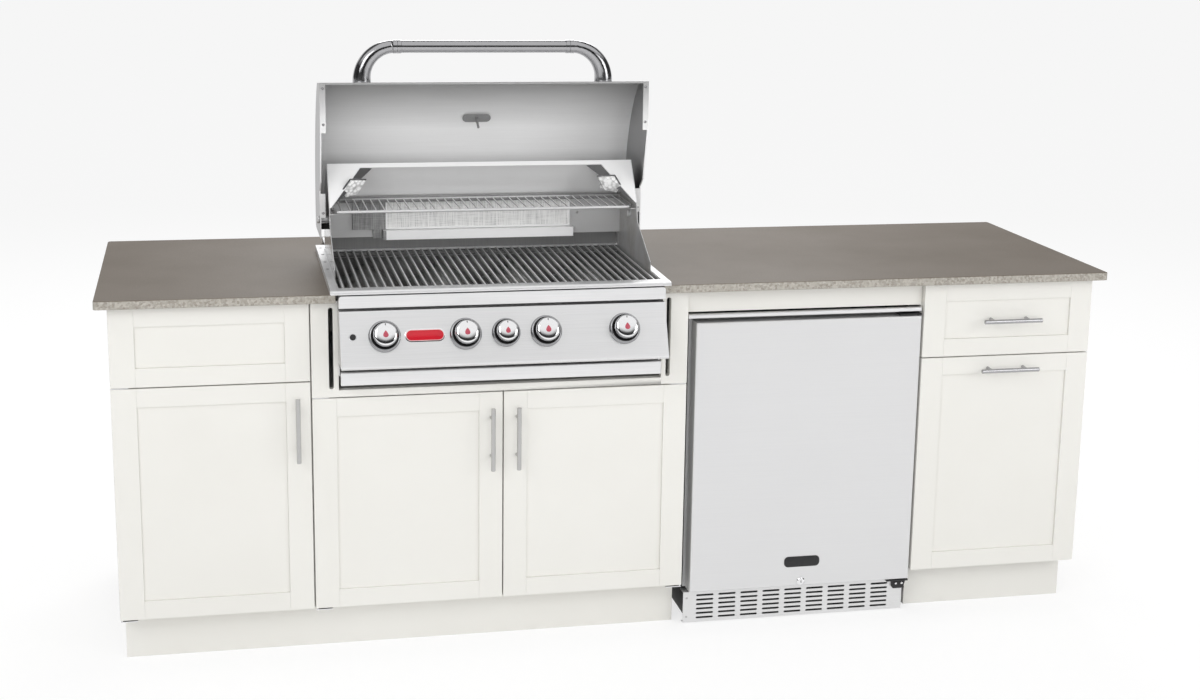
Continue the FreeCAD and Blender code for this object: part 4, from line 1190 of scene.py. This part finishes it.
@dataclass
class Casework(Assembly):
    """Carcasses, toe kicks, frame with vent slots and the stone top."""

    board_ease: float = 0.6
    stone_ease: float = 2.0
    boards: Tuple[str, ...] = ("plinths", "left_carcass", "grill_carcass", "right_carcass", "fridge_bay",
                               "face_frame")

    def build(self) -> None:
        """Ease the stone's and the outer boards' edges; the welded carcasses keep theirs square."""
        for node in self.boards:
            ease = 0.0 if node.endswith("carcass") else self.board_ease
            self.refit(node, f"{node}_boards", self.kit.paint, Slot.CABINET, ease)
        self.refit("counter_slab", "counter_stone", self.kit.stone, Slot.SLAB, self.stone_ease, segments=3)


@dataclass
class CabinetFronts(Assembly):
    """Shaker fronts of stiles, rails and sunk panels, butt-jointed as boards are."""

    stile: float = 57.0
    rail: float = 45.0
    sink: float = 6.0
    ease: float = 0.7
    places: Tuple[Tuple[str, str], ...] = (
        ("left_false_front", "island"), ("left_door", "left_door"), ("grill_door_left", "grill_door_left"),
        ("grill_door_right", "grill_door_right"), ("drawer_front", "drawer"), ("pullout_front", "pullout"))
    boards: Tuple[Tuple[int, int, int, int, int], ...] = (
        (0, 1, 0, 3, 0), (2, 3, 0, 3, 0), (1, 2, 0, 1, 0), (1, 2, 2, 3, 0), (1, 2, 1, 2, 1))

    def front(self, node: str, body: str) -> None:
        """Build one front in the place of its CAD node, with each board between four of its lines.

        Args:
            node: The node's name.
            body: The body that it rides on.
        """
        low, high = (Vector(corner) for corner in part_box(node))
        stile, rail, sink = self.stile * MM, self.rail * MM, self.sink * MM
        x = (low.x, low.x + stile, high.x - stile, high.x)
        z = (low.z, low.z + rail, high.z - rail, high.z)
        pieces = []
        for i, (left, right, bottom, top, sunk) in enumerate(self.boards):
            near = Vector((x[left], low.y + sunk * sink, z[bottom]))
            far = Vector((x[right], high.y, z[top]))
            pieces.append(Shop.block(f"{node}_board_{i}", near, far, self.ease))
        self.fit(Shop.joined(f"{node}_boards", pieces), self.kit.paint, body, Slot.CABINET, node)

    def build(self) -> None:
        """Build all six fronts."""
        for node, body in self.places:
            self.front(node, body)


@dataclass
class BarHandles(Assembly):
    """Round bar handles on two posts, one for each opening front."""

    radius: float = 5.5
    chamfer: float = 0.9
    post: float = 3.4
    foot: float = 4.0
    foot_height: float = 4.0
    flare: float = 1.0
    spread: float = 96.0
    places: Tuple[Tuple[str, str], ...] = (
        ("left_door_handle", "left_door"), ("grill_door_left_handle", "grill_door_left"),
        ("grill_door_right_handle", "grill_door_right"), ("drawer_handle", "drawer"),
        ("pullout_handle", "pullout"))

    def handle(self, node: str, body: str) -> None:
        """Build one handle in the place of its CAD node.

        Args:
            node: The node's name.
            body: The body that it rides on.
        """
        low, high = (Vector(corner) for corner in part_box(node))
        size = high - low
        upright = size.z > size.x
        along = (Axis.Z if upright else Axis.X).unit()
        half = max(size.x, size.z) / 2 / MM
        centre = (low + high) / 2
        centre.y = low.y + self.radius * MM
        r, c = self.radius, self.chamfer
        rod = [(0, -half), (r - c, -half), (r, c - half), (r, half - c), (r - c, half), (0, half)]
        pieces = [Shop.turned(f"{node}_bar", rod, centre, along, steps=28)]
        reach = (high.y - centre.y) / MM
        neck = reach - self.foot_height
        stem = [(0, 0), (self.post, 0), (self.post, neck - self.flare), (self.foot, neck),
                (self.foot, reach), (0, reach)]
        for side in (-1, 1):
            place = centre + along * (side * self.spread / 2 * MM)
            pieces.append(Shop.turned(f"{node}_post", stem, place, Axis.Y.unit(), steps=20))
        finish = self.kit.satin if upright else self.kit.bar
        self.fit(Shop.joined(f"{node}_turned", pieces), finish, body, Slot.BRIGHT, node)

    def build(self) -> None:
        """Build the five handles."""
        for node, body in self.places:
            self.handle(node, body)


@dataclass
class ControlFascia(Assembly):
    """Sloped control panel with knobs on dark bezels, the light button and a plain enamel plate."""

    lean: Point = (0.0, -0.918784, 0.39476)
    row: Pair = (-84.08, 806.95)
    knobs: Profile = ((622.9, 1.0), (811.8, 1.0), (907.0, 0.9), (1002.5, 1.0), (1191.6, 1.0))
    cap: float = 29.3
    dome: Profile = ((0.8, 6), (0, 6.8), (0, 11.6), (0.5, 13.4), (0.9, 20.0), (1.2, 28.6), (1.7, 31.0),
                     (2.9, 33.2), (4.8, 34.6), (9.0, 35.4), (16.0, 35.9))
    crown: float = 36.0
    side_shade_limit: float = 0.75
    shaft: Profile = ((0, -26), (3.9, -26), (3.9, 7), (0, 7))
    bezel: float = 37.5
    bore: float = 6.0
    bore_levels: Pair = (0.2, 4.2)
    rim: Profile = ((0.6, 0.2), (0, 0.8), (0, 2.6), (0.8, 3.8), (2.2, 5.0), (3.2, 7.2), (3.6, 9.4))
    gap: float = 2.8
    well: Profile = ((1.2, 10.8), (0.5, 10.8), (0, 10.2), (0, 5.2))
    gap_shade_play: float = 0.4
    gap_shade_levels: Point = (4.5, 8.6, 9.2)
    drop_size: Pair = (12.5, 16.5)
    drop_levels: Pair = (35.4, 36.0)
    drop_steps: int = 26
    drop_fullness: float = 0.65
    tick: Point = (1.8, 5.0, 0.8)
    tick_levels: Pair = (33.4, 35.5)
    tick_inset: float = 7.2
    plate: Point = (716.5, 94.0, 31.0)
    plate_steps: Profile = ((0.0, 0.8), (2.2, 1.0), (3.6, 1.25))
    plate_flat: float = 0.05
    underside: Pair = (-0.1, -0.05)
    button_x: float = 549.9
    button: Profile = ((0, -8), (7, -8), (7, 3.6), (6.4, 4.5), (5, 4.8), (0, 5))
    button_ring: Profile = ((7.6, 0), (9.5, 0), (9.5, 1.4), (8.6, 2.5), (7.6, 2.5), (7.6, 0))

    def spot(self, x: float, out: float = 0.0, up: float = 0.0) -> Vector:
        """Point on the panel's knob row.

        Args:
            x: Place along the panel in millimetres.
            out: Distance off the face.
            up: Distance up the face.

        Returns:
            The point in metres.
        """
        normal = Vector(self.lean)
        rise = Vector((0.0, normal.z, -normal.y))
        return at(x, *self.row) + normal * (out * MM) + rise * (up * MM)

    def raised(self, name: str, outline: Sequence[Pair], x: float, levels: Pair, up: float = 0.0,
               ease: float = 0.12) -> Piece:
        """Flat plate on the panel.

        Args:
            name: The piece's name.
            outline: Its corners across and up, about its centre.
            x: Place of its centre along the panel.
            levels: Heights of its back and its front off the face.
            up: Place of its centre above the knob row.
            ease: Width of its eased edges.

        Returns:
            The plate.
        """
        low, high = levels
        corners = [self.spot(x + u, low, up + v) for u, v in outline]
        return Shop.extruded(name, corners, Vector(self.lean) * ((high - low) * MM), ease)

    def drop(self, size: float) -> List[Pair]:
        """Outline of a drop with its tip up.

        Args:
            size: Its scale.

        Returns:
            Places across and up.
        """
        width, height = (part * size for part in self.drop_size)
        full, tall = width * self.drop_fullness, height / 2
        turns = [math.tau * (i + 0.5) / self.drop_steps for i in range(self.drop_steps)]
        return [(full * math.sin(turn) * math.sin(turn / 2), tall * math.cos(turn)) for turn in turns]

    def ring(self, inner: float, rim: float) -> List[Pair]:
        """Profile of a bezel.

        Args:
            inner: Radius of its well.
            rim: Radius of its foot.

        Returns:
            Radius and height pairs.
        """
        low, high = self.bore_levels
        outside = [(rim - inset, level) for inset, level in self.rim]
        inside = [(inner + outset, level) for outset, level in self.well]
        return [(self.bore, low)] + outside + inside + [(self.bore, high), (self.bore, low)]

    def knob(self, number: int, x: float, size: float) -> None:
        """Build one knob with its bezel, drop and pointer mark.

        Args:
            number: The knob's number from the left.
            x: Its place along the panel.
            size: Its scale against the others.
        """
        normal, base, body = Vector(self.lean), self.spot(x), f"knob_{number}"
        r = self.cap * size
        inner, play = r + self.gap, r + self.gap_shade_play
        bezel = Shop.turned(f"bezel_{number}", self.ring(inner, self.bezel * size), base, normal, steps=64)
        self.fit(bezel, self.kit.chrome, "island", Slot.BRIGHT, "knob_bezels")
        # A near-black band in the gap between cap and bezel: painted shade.
        low, middle, high = self.gap_shade_levels
        band = [(play, low), (inner, low), (inner, high), (play, middle), (play, low)]
        gap_shade = Shop.turned(f"bezel_{number}_seal", band, base, normal)
        self.fit(gap_shade, self.kit.shade, "island", Slot.BLACK)
        dome = [(r - inset, level) for inset, level in self.dome]
        dome = [(0, dome[0][1])] + dome + [(0, self.crown)]
        cap = Shop.turned(f"{body}_cap", dome, base, normal, steps=64)
        shaft = Shop.turned(f"{body}_shaft", self.shaft, base, normal, steps=20)
        whole = Shop.joined(f"{body}_turned", [cap, shaft])
        self.fit(whole, self.kit.bright, body, Slot.BRIGHT, body)
        # The cap's sides and shoulder take the dark chrome: painted shade.
        self.patch(whole, self.kit.chrome, lambda _, no: no.dot(normal) < self.side_shade_limit)
        drop = self.raised(f"{body}_drop", self.drop(size), x, self.drop_levels, ease=0.1)
        self.fit(drop, self.kit.rosy, body, Slot.BRIGHT)
        tick = self.raised(f"{body}_tick", rounded(*self.tick), x, self.tick_levels, r - self.tick_inset)
        self.fit(tick, self.kit.shade, body, Slot.BLACK)

    def panel(self) -> None:
        """Build the panel's sheet and the plain plate in place of its solid."""
        panel = Shop.refined("control_panel", "control_panel_sheet", ease=0.3)
        x, width, height = self.plate
        left, right = (across(x + side * (width / 2 + 1)) for side in (-1, 1))
        Shop.trimmed(panel, lambda co, _: left < co.x < right)
        self.fit(panel, self.kit.steel, "island", Slot.STEEL, "control_panel")
        front, below = self.underside
        # Faces that look down and forward take the darker flange steel: painted shade.
        self.patch(panel, self.kit.flange, lambda _, no: no.z < below and no.y < front)
        low = 0.0
        finishes = (self.kit.bright, self.kit.pale, self.kit.enamel)
        for name, finish, (inset, high) in zip(("rim", "border", "field"), finishes, self.plate_steps):
            tall = height - 2 * inset
            outline = rounded(width - 2 * inset, tall, tall / 2 - self.plate_flat)
            step = self.raised(f"panel_plate_{name}", outline, x, (low, high))
            self.fit(step, finish, "island", Slot.BRIGHT)
            low = high

    def build(self) -> None:
        """Build the panel and everything on it."""
        self.panel()
        for number, (x, size) in enumerate(self.knobs, 1):
            self.knob(number, x, size)
        for name, profile, finish, body, node in (
                ("button_ring", self.button_ring, self.kit.bright, "island", "knob_bezels"),
                ("light_button_cap", self.button, self.kit.black, "light_button", "light_button")):
            piece = Shop.turned(name, profile, self.spot(self.button_x), Vector(self.lean), steps=32)
            self.fit(piece, finish, body, Slot.BRIGHT, node)
        for node, name, body in (("grill_apron", "grill_apron_sheet", "island"),
                                 ("drip_tray", "drip_tray_pan", "drip_tray")):
            self.refit(node, name, self.kit.steel, Slot.STEEL, ease=0.4, body=body)


@dataclass
class GrillHead(Assembly):
    """Firebox, flange, canopy, lamps, racks and burners of the grill."""

    mesh: Tuple[Point, Point] = ((678.0, 424.5, 970.0), (1152.0, 425.5, 1044.0))
    burner_box: float = 676.0
    rack_rail: float = 253.5
    highlight_crest: float = 0.72
    flange_lip: float = -20.0
    cheek: Pair = (0.3, 0.999)
    rear_band: Pair = (947.0, 1047.0)
    rear_lip: Point = (455.0, 904.5, 910.0)
    inner_x: Pair = (522.5, 1293.5)
    gusset_x: Pair = (524.1, 1290.3)
    gusset: Tuple[Point, Point] = ((0.0, 444.0, 911.2), (1.6, 467.8, 945.0))
    vent_x: Pair = (513.5, 1301.0)
    vent_y: Tuple[float, ...] = (208.0, 298.0, 397.0, 487.0)
    vent_z: float = 911.0
    vent: Profile = ((0, -4), (4.1, -4), (4.1, -0.9), (3.6, -1.1), (0, -1.1))
    screw: Point = (1177.4, 435.0, 1000.7)
    screw_radius: float = 3.8
    glass: Tuple[Point, ...] = ((0.32, 0.19, -0.93), (-0.8, -0.47, -0.38), (0.33, -0.86, 0.38))
    glass_match: float = 0.97
    lamp_seat: Point = (327.1, 301.6, 1097.7)
    lamp_middle: float = 908.0
    lamp_face: Point = (0.401, -0.785, -0.473)
    lamp_along: Point = (0.85, 0.511, -0.128)
    lamp_outline: Profile = ((22.0, 30.0), (-22.0, 28.0), (-31.0, -5.0), (-16.0, -22.0), (14.0, -12.0))
    lamp_rise: float = 13.0
    frame_scale: float = 1.09
    frame_depth: float = 3.0
    pane_depth: float = 1.8

    def sheets(self) -> None:
        """Build the flange, the firebox, the canopy, the lamps' boxes and the heat shields."""
        kit = self.kit
        flange, box, cheeks, lamps, _ = (
            self.refit(node, f"{node}_sheet", finish, Slot.STEEL, ease) for node, finish, ease in (
                ("grill_flange", kit.flange, 0.5), ("firebox", kit.inside, 0.4),
                ("rear_panel", kit.canopy, 0.4), ("interior_lamps", kit.lens, 1.2),
                ("heat_shields", kit.burnt, 0.4)))
        edge = back(self.flange_lip)
        # The flange's front lip takes the paler steel: painted highlight.
        self.patch(flange, kit.lip, lambda co, _: co.y < edge)
        slant, square = self.cheek
        # The canopy's side walls take the darker steel: painted shade.
        self.patch(cheeks, kit.painted_shade_steel, lambda _, no: slant < abs(no.x) < square and no.z < SLANT)
        faces = [Vector((side * x, y, z)) for x, y, z in self.glass for side in (-1, 1)]
        self.patch(lamps, kit.black, lambda _, no: all(no.dot(face) <= self.glass_match for face in faces))
        self.walls(box)

    def walls(self, box: Piece) -> None:
        """Give the firebox's rear wall a lighter middle band with painted shade above and below it, painted
        shade on its outer walls and painted highlights on its front-up faces and rear lip.

        Args:
            box: The firebox.
        """
        low, high = (above(z) for z in self.rear_band)
        left, right = (across(x) for x in self.inner_x)
        rear, lip_low, lip_high = self.rear_lip
        lip_y, lip_low, lip_high = back(rear), above(lip_low), above(lip_high)
        Shop.cut(box, at(0, 0, self.rear_band[1]), Axis.Z.unit())
        self.patch(box, self.kit.rear, lambda co, no: no.y < -SQUARE and low < co.z < high)
        # Rear wall above and below the middle band: painted shade.
        self.patch(box, self.kit.dim, lambda co, no: no.y < -SQUARE and not low < co.z < high)
        # Outer side walls, in the gap round the firebox: painted shade.
        self.patch(box, self.kit.outer, lambda co, no: abs(no.x) > SQUARE and not left < co.x < right)
        # Faces that tilt up to the front, and the rear lip: painted highlight.
        self.patch(box, self.kit.lip, lambda co, no: (no.y < -SLANT and no.z > SLANT and abs(no.x) < SLANT)
                   or (lip_low < co.z < lip_high and co.y > lip_y))

    def racks(self) -> None:
        """Build the grates, the rack and the burner tubes, with painted highlights on the rods' tops and on
        the rack's front part.
        """
        rail = back(self.rack_rail)
        for node in ("cooking_grates", "warming_rack"):
            rods = self.refit(node, f"{node}_rods", self.kit.dim, Slot.STEEL, ease=0.0, angle=ROD_ANGLE)
            # Rod tops and the rack's whole front part take the paler steel: painted highlight.
            self.patch(rods, self.kit.lip, lambda co, no: no.z > self.highlight_crest or (
                node == "warming_rack" and co.y < rail))
        self.refit("main_burners", "main_burner_tubes", self.kit.burnt, Slot.STEEL, ease=0.0,
                   angle=TUBE_ANGLE)

    def details(self) -> None:
        """Close the firebox's rear corners, paint shade into the vent holes and set a screw."""
        low, high = (Vector(corner) * MM for corner in self.gusset)
        gussets = [Shop.block(f"firebox_gusset_{i}", at(x, 0, 0) + low, at(x, 0, 0) + high, ease=0.2)
                   for i, x in enumerate(self.gusset_x)]
        self.fit(Shop.joined("firebox_gussets", gussets), self.kit.inside, "island", Slot.STEEL)
        # Near-black discs just under each vent hole: painted shade.
        places = [at(x, y, self.vent_z) for x in self.vent_x for y in self.vent_y]
        holes = [Shop.turned(f"flange_hole_{i}", self.vent, place, Axis.Z.unit(), steps=20)
                 for i, place in enumerate(places)]
        self.fit(Shop.joined("flange_vent_shade", holes), self.kit.shade, "island", Slot.BLACK)
        self.screws("rear_wall_screw", [at(*self.screw)], Axis.Y.unit(-1), self.screw_radius, "island",
                    self.kit.satin, Slot.STEEL)

    def lamps(self) -> None:
        """Set a framed glass across each upper corner, in front of the lamp's box."""
        panes, frames = [], []
        for side in (1.0, -1.0):
            mirror = Matrix.Diagonal((side, 1.0, 1.0))
            face, along = (mirror @ Vector(way).normalized() for way in (self.lamp_face, self.lamp_along))
            rise = face.cross(along) * side
            offset, y, z = self.lamp_seat
            seat = at(self.lamp_middle - side * offset, y, z) + face * (self.lamp_rise * MM)
            for pieces, name, scale, low, deep, ease in (
                    (frames, "frame", self.frame_scale, -self.frame_depth, self.frame_depth, 0.3),
                    (panes, "pane", 1.0, 0.0, self.pane_depth, 0.5)):
                base = seat + face * (low * MM)
                points = [base + (along * u + rise * v) * (scale * MM) for u, v in self.lamp_outline]
                pieces.append(Shop.extruded(f"lamp_{name}_{side:.0f}", points, face * (deep * MM), ease))
        self.fit(Shop.joined("lamp_panes", panes), self.kit.lens, "island", Slot.STEEL)
        self.fit(Shop.joined("lamp_frames", frames), self.kit.chrome, "island", Slot.STEEL)

    def in_mesh(self, place: Vector, out: Vector) -> bool:
        """Whether a face is the woven front of the rear burner's plate."""
        low, high = (at(*corner) for corner in self.mesh)
        return out.y < -SQUARE and all(a <= p <= b for a, p, b in zip(low, place, high))

    def burner(self) -> None:
        """Build the rear burner, with its streaked left part and its woven front."""
        burner = Shop.refined("rear_burner", "rear_burner_box", ease=0.4)
        left = at(self.burner_box, 0, 0)
        Shop.cut(burner, left, Axis.X.unit())
        self.fit(burner, self.kit.canopy, "island", Slot.STEEL, "rear_burner")
        self.patch(burner, self.kit.streaked, lambda co, no: co.x < left.x and no.z < STEEP)
        self.patch(burner, self.kit.mesh, self.in_mesh)

    def build(self) -> None:
        """Build the sheet parts, the racks, the lamps and the burners."""
        self.sheets()
        self.racks()
        self.details()
        self.lamps()
        self.burner()


@dataclass
class Hood(Assembly):
    """Rolled hood with its handle, pivots and thermometer."""

    inner_x: Pair = (504.0, 1310.0)
    middle: Pair = (150.0, 1180.0)
    collar_x: Pair = (698.0, 1114.0)
    collar_place: Pair = (266.0, 1444.5)
    collar: Profile = ((14.0, -5), (15.9, -5), (16.5, -4.2), (16.5, 4.2), (15.9, 5), (14.0, 5))
    dial_back: float = 396.0
    buffer_top: float = 1005.9
    buffer_back: float = 312.5
    bolt: Pair = (306.0, 5.5)
    screw_x: Pair = (510.0, 1304.0)
    screw_rows: Profile = ((218.0, 1349.0), (218.0, 1262.0), (285.0, 1036.0))
    screw_radius: float = 3.4

    def shell(self) -> None:
        """Build the shell, with painted shade by height inside and painted shade on its ends."""
        shell = self.refit("hood_shell", "hood_sheet", self.kit.hood, Slot.STEEL, ease=0.5, body="hood")
        left, right = (across(x) for x in self.inner_x)
        middle = at(0, *self.middle)
        # Inner faces take the lining with painted shade by height.
        self.patch(shell, self.kit.height_shaded, lambda co, no: abs(no.x) < STEEP and no.dot(middle - co) > 0.0
                   and left < co.x < right)
        # End faces take the darker steel: painted shade.
        self.patch(shell, self.kit.painted_shade_steel, lambda _, no: abs(no.x) > SQUARE)

    def pivots(self) -> None:
        """Build the pivot bolts, with the buffers beside them in black."""
        pivots = Shop.refined("hood_pivots", "hood_pivot_bolts", ease=0.3)
        top, rear = above(self.buffer_top), back(self.buffer_back)
        bolt, radius = back(self.bolt[0]), self.bolt[1] * MM
        stops = Shop.parted(pivots, "hood_buffers", lambda co, _: co.z < top and co.y < rear
                            and abs(co.y - bolt) > radius)
        self.fit(stops, self.kit.shade, "island", Slot.BLACK, "hood_pivots")
        self.fit(pivots, self.kit.lip, "island", Slot.BRIGHT, "hood_pivots")

    def build(self) -> None:
        """Build the hood and what it carries."""
        self.shell()
        pieces = [Shop.refined("hood_handle", "hood_handle_tube", ease=0.0, angle=PIPE_ANGLE)]
        for i, (x, side) in enumerate(zip(self.collar_x, (1, -1))):
            place = at(x, *self.collar_place)
            pieces.append(Shop.turned(f"collar_{i}", self.collar, place, Axis.X.unit(side), steps=40))
        self.fit(Shop.joined("hood_handle_tube", pieces), self.kit.bar, "hood", Slot.BRIGHT, "hood_handle")
        dial = self.refit("thermometer", "thermometer_dial", self.kit.bright, Slot.BRIGHT, ease=0.4,
                          body="hood")
        rear = back(self.dial_back)
        self.patch(dial, self.kit.dim, lambda co, _: co.y < rear)
        self.pivots()
        heads = [at(x, y, z) for x in self.screw_x for y, z in self.screw_rows]
        self.screws("hood_screws", heads, Axis.Y.unit(-1), self.screw_radius, "hood", self.kit.chrome,
                    Slot.STEEL)


@dataclass
class Fridge(Assembly):
    """Undercounter fridge: black case, grey liner, steel door, plain plate and kick grille."""

    skin: float = 12.0
    rim: float = 2.0
    base: float = 93.0
    door_face: float = -0.6
    plate_place: Pair = (1686.0, 160.0)
    plate: Point = (94.0, 28.0, 11.0)
    plate_depth: float = 1.2
    shade_sheet: Tuple[Point, Point] = ((1388.0, 27.2, 9.0), (1965.0, 29.2, 81.0))
    foot_y: float = 18.5
    foot_depth: float = 6.2
    foot: Profile = ((1941.0, 90.0), (1978.5, 90.0), (1978.5, 84.0), (1972.0, 64.0), (1966.0, 62.0),
                     (1945.0, 62.0), (1941.0, 68.0))
    foot_screws: Profile = ((1952.0, 76.0), (1968.0, 76.0))
    foot_screw: float = 3.4
    grille_y: float = 25.0
    grille_screws: Profile = ((1391.5, 20.0), (1391.5, 70.0))
    grille_screw: float = 2.8

    def case(self) -> None:
        """Dress the case black outside and grey inside."""
        case = self.refit("fridge_cabinet", "fridge_case", self.kit.black, Slot.LINER, ease=0.8)
        low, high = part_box("fridge_cabinet")
        skin, front, base = self.skin * MM, low[1] + self.rim * MM, above(self.base)
        self.patch(case, self.kit.liner, lambda co, _: co.z > base and (co.y < front or (
            low[0] + skin < co.x < high[0] - skin and co.y < high[1] - skin
            and base + skin < co.z < high[2] - skin)))

    def door(self) -> None:
        """Build the door with a plain plate in place of its solid."""
        door = Shop.refined("fridge_door", "fridge_door_panel", ease=0.6)
        face = back(self.door_face)
        Shop.trimmed(door, lambda co, _: co.y < face)
        self.fit(door, self.kit.door, "fridge_door", Slot.STEEL, "fridge_door")
        x, z = self.plate_place
        points = [at(x + u, 0, z + v) for u, v in rounded(*self.plate)]
        plate = Shop.extruded("fridge_plate", points, Axis.Y.unit(-self.plate_depth * MM), ease=0.3)
        self.fit(plate, self.kit.black, "fridge_door", Slot.BLACK)

    def build(self) -> None:
        """Build the fridge's pieces."""
        self.case()
        self.door()
        # A near-black sheet behind the grille's slots: painted shade, so the slots read dark.
        low, high = (at(*corner) for corner in self.shade_sheet)
        shade_sheet = Shop.block("fridge_grille_shade_sheet", low, high, ease=0.3)
        self.fit(shade_sheet, self.kit.shade, "island", Slot.BLACK)
        outline = [at(x, self.foot_y, z) for x, z in self.foot]
        foot = Shop.extruded("fridge_hinge_foot", outline, Axis.Y.unit(self.foot_depth * MM), ease=0.4)
        self.fit(foot, self.kit.black, "island", Slot.BLACK)
        front = Axis.Y.unit(-1)
        heads = [at(x, self.foot_y, z) for x, z in self.foot_screws]
        self.screws("fridge_hinge_screws", heads, front, self.foot_screw, "island", self.kit.bright,
                    Slot.BRIGHT)
        heads = [at(x, self.grille_y, z) for x, z in self.grille_screws]
        self.screws("fridge_grille_screws", heads, front, self.grille_screw, "island", self.kit.satin,
                    Slot.STEEL)
        for node, body, finish, slot in (
                ("fridge_lock", "fridge_lock", self.kit.bright, Slot.BRIGHT),
                ("fridge_grille", "island", self.kit.grille, Slot.STEEL),
                ("fridge_trim", "island", self.kit.steel, Slot.STEEL),
                ("fridge_hinges", "island", self.kit.black, Slot.STEEL)):
            self.refit(node, f"{node}_fitted", finish, slot, ease=0.3, body=body)


def main() -> None:
    """Build the studio and the island's looks."""
    logging.basicConfig(level=logging.INFO, format="%(name)s: %(message)s")
    bpy.ops.object.select_all(action="DESELECT")
    Studio().build()
    finishes = Finishes()
    for assembly in (Coat, Casework, CabinetFronts, BarHandles, ControlFascia, GrillHead, Hood, Fridge):
        assembly(finishes).build()


if __name__ == "__main__":
    main()
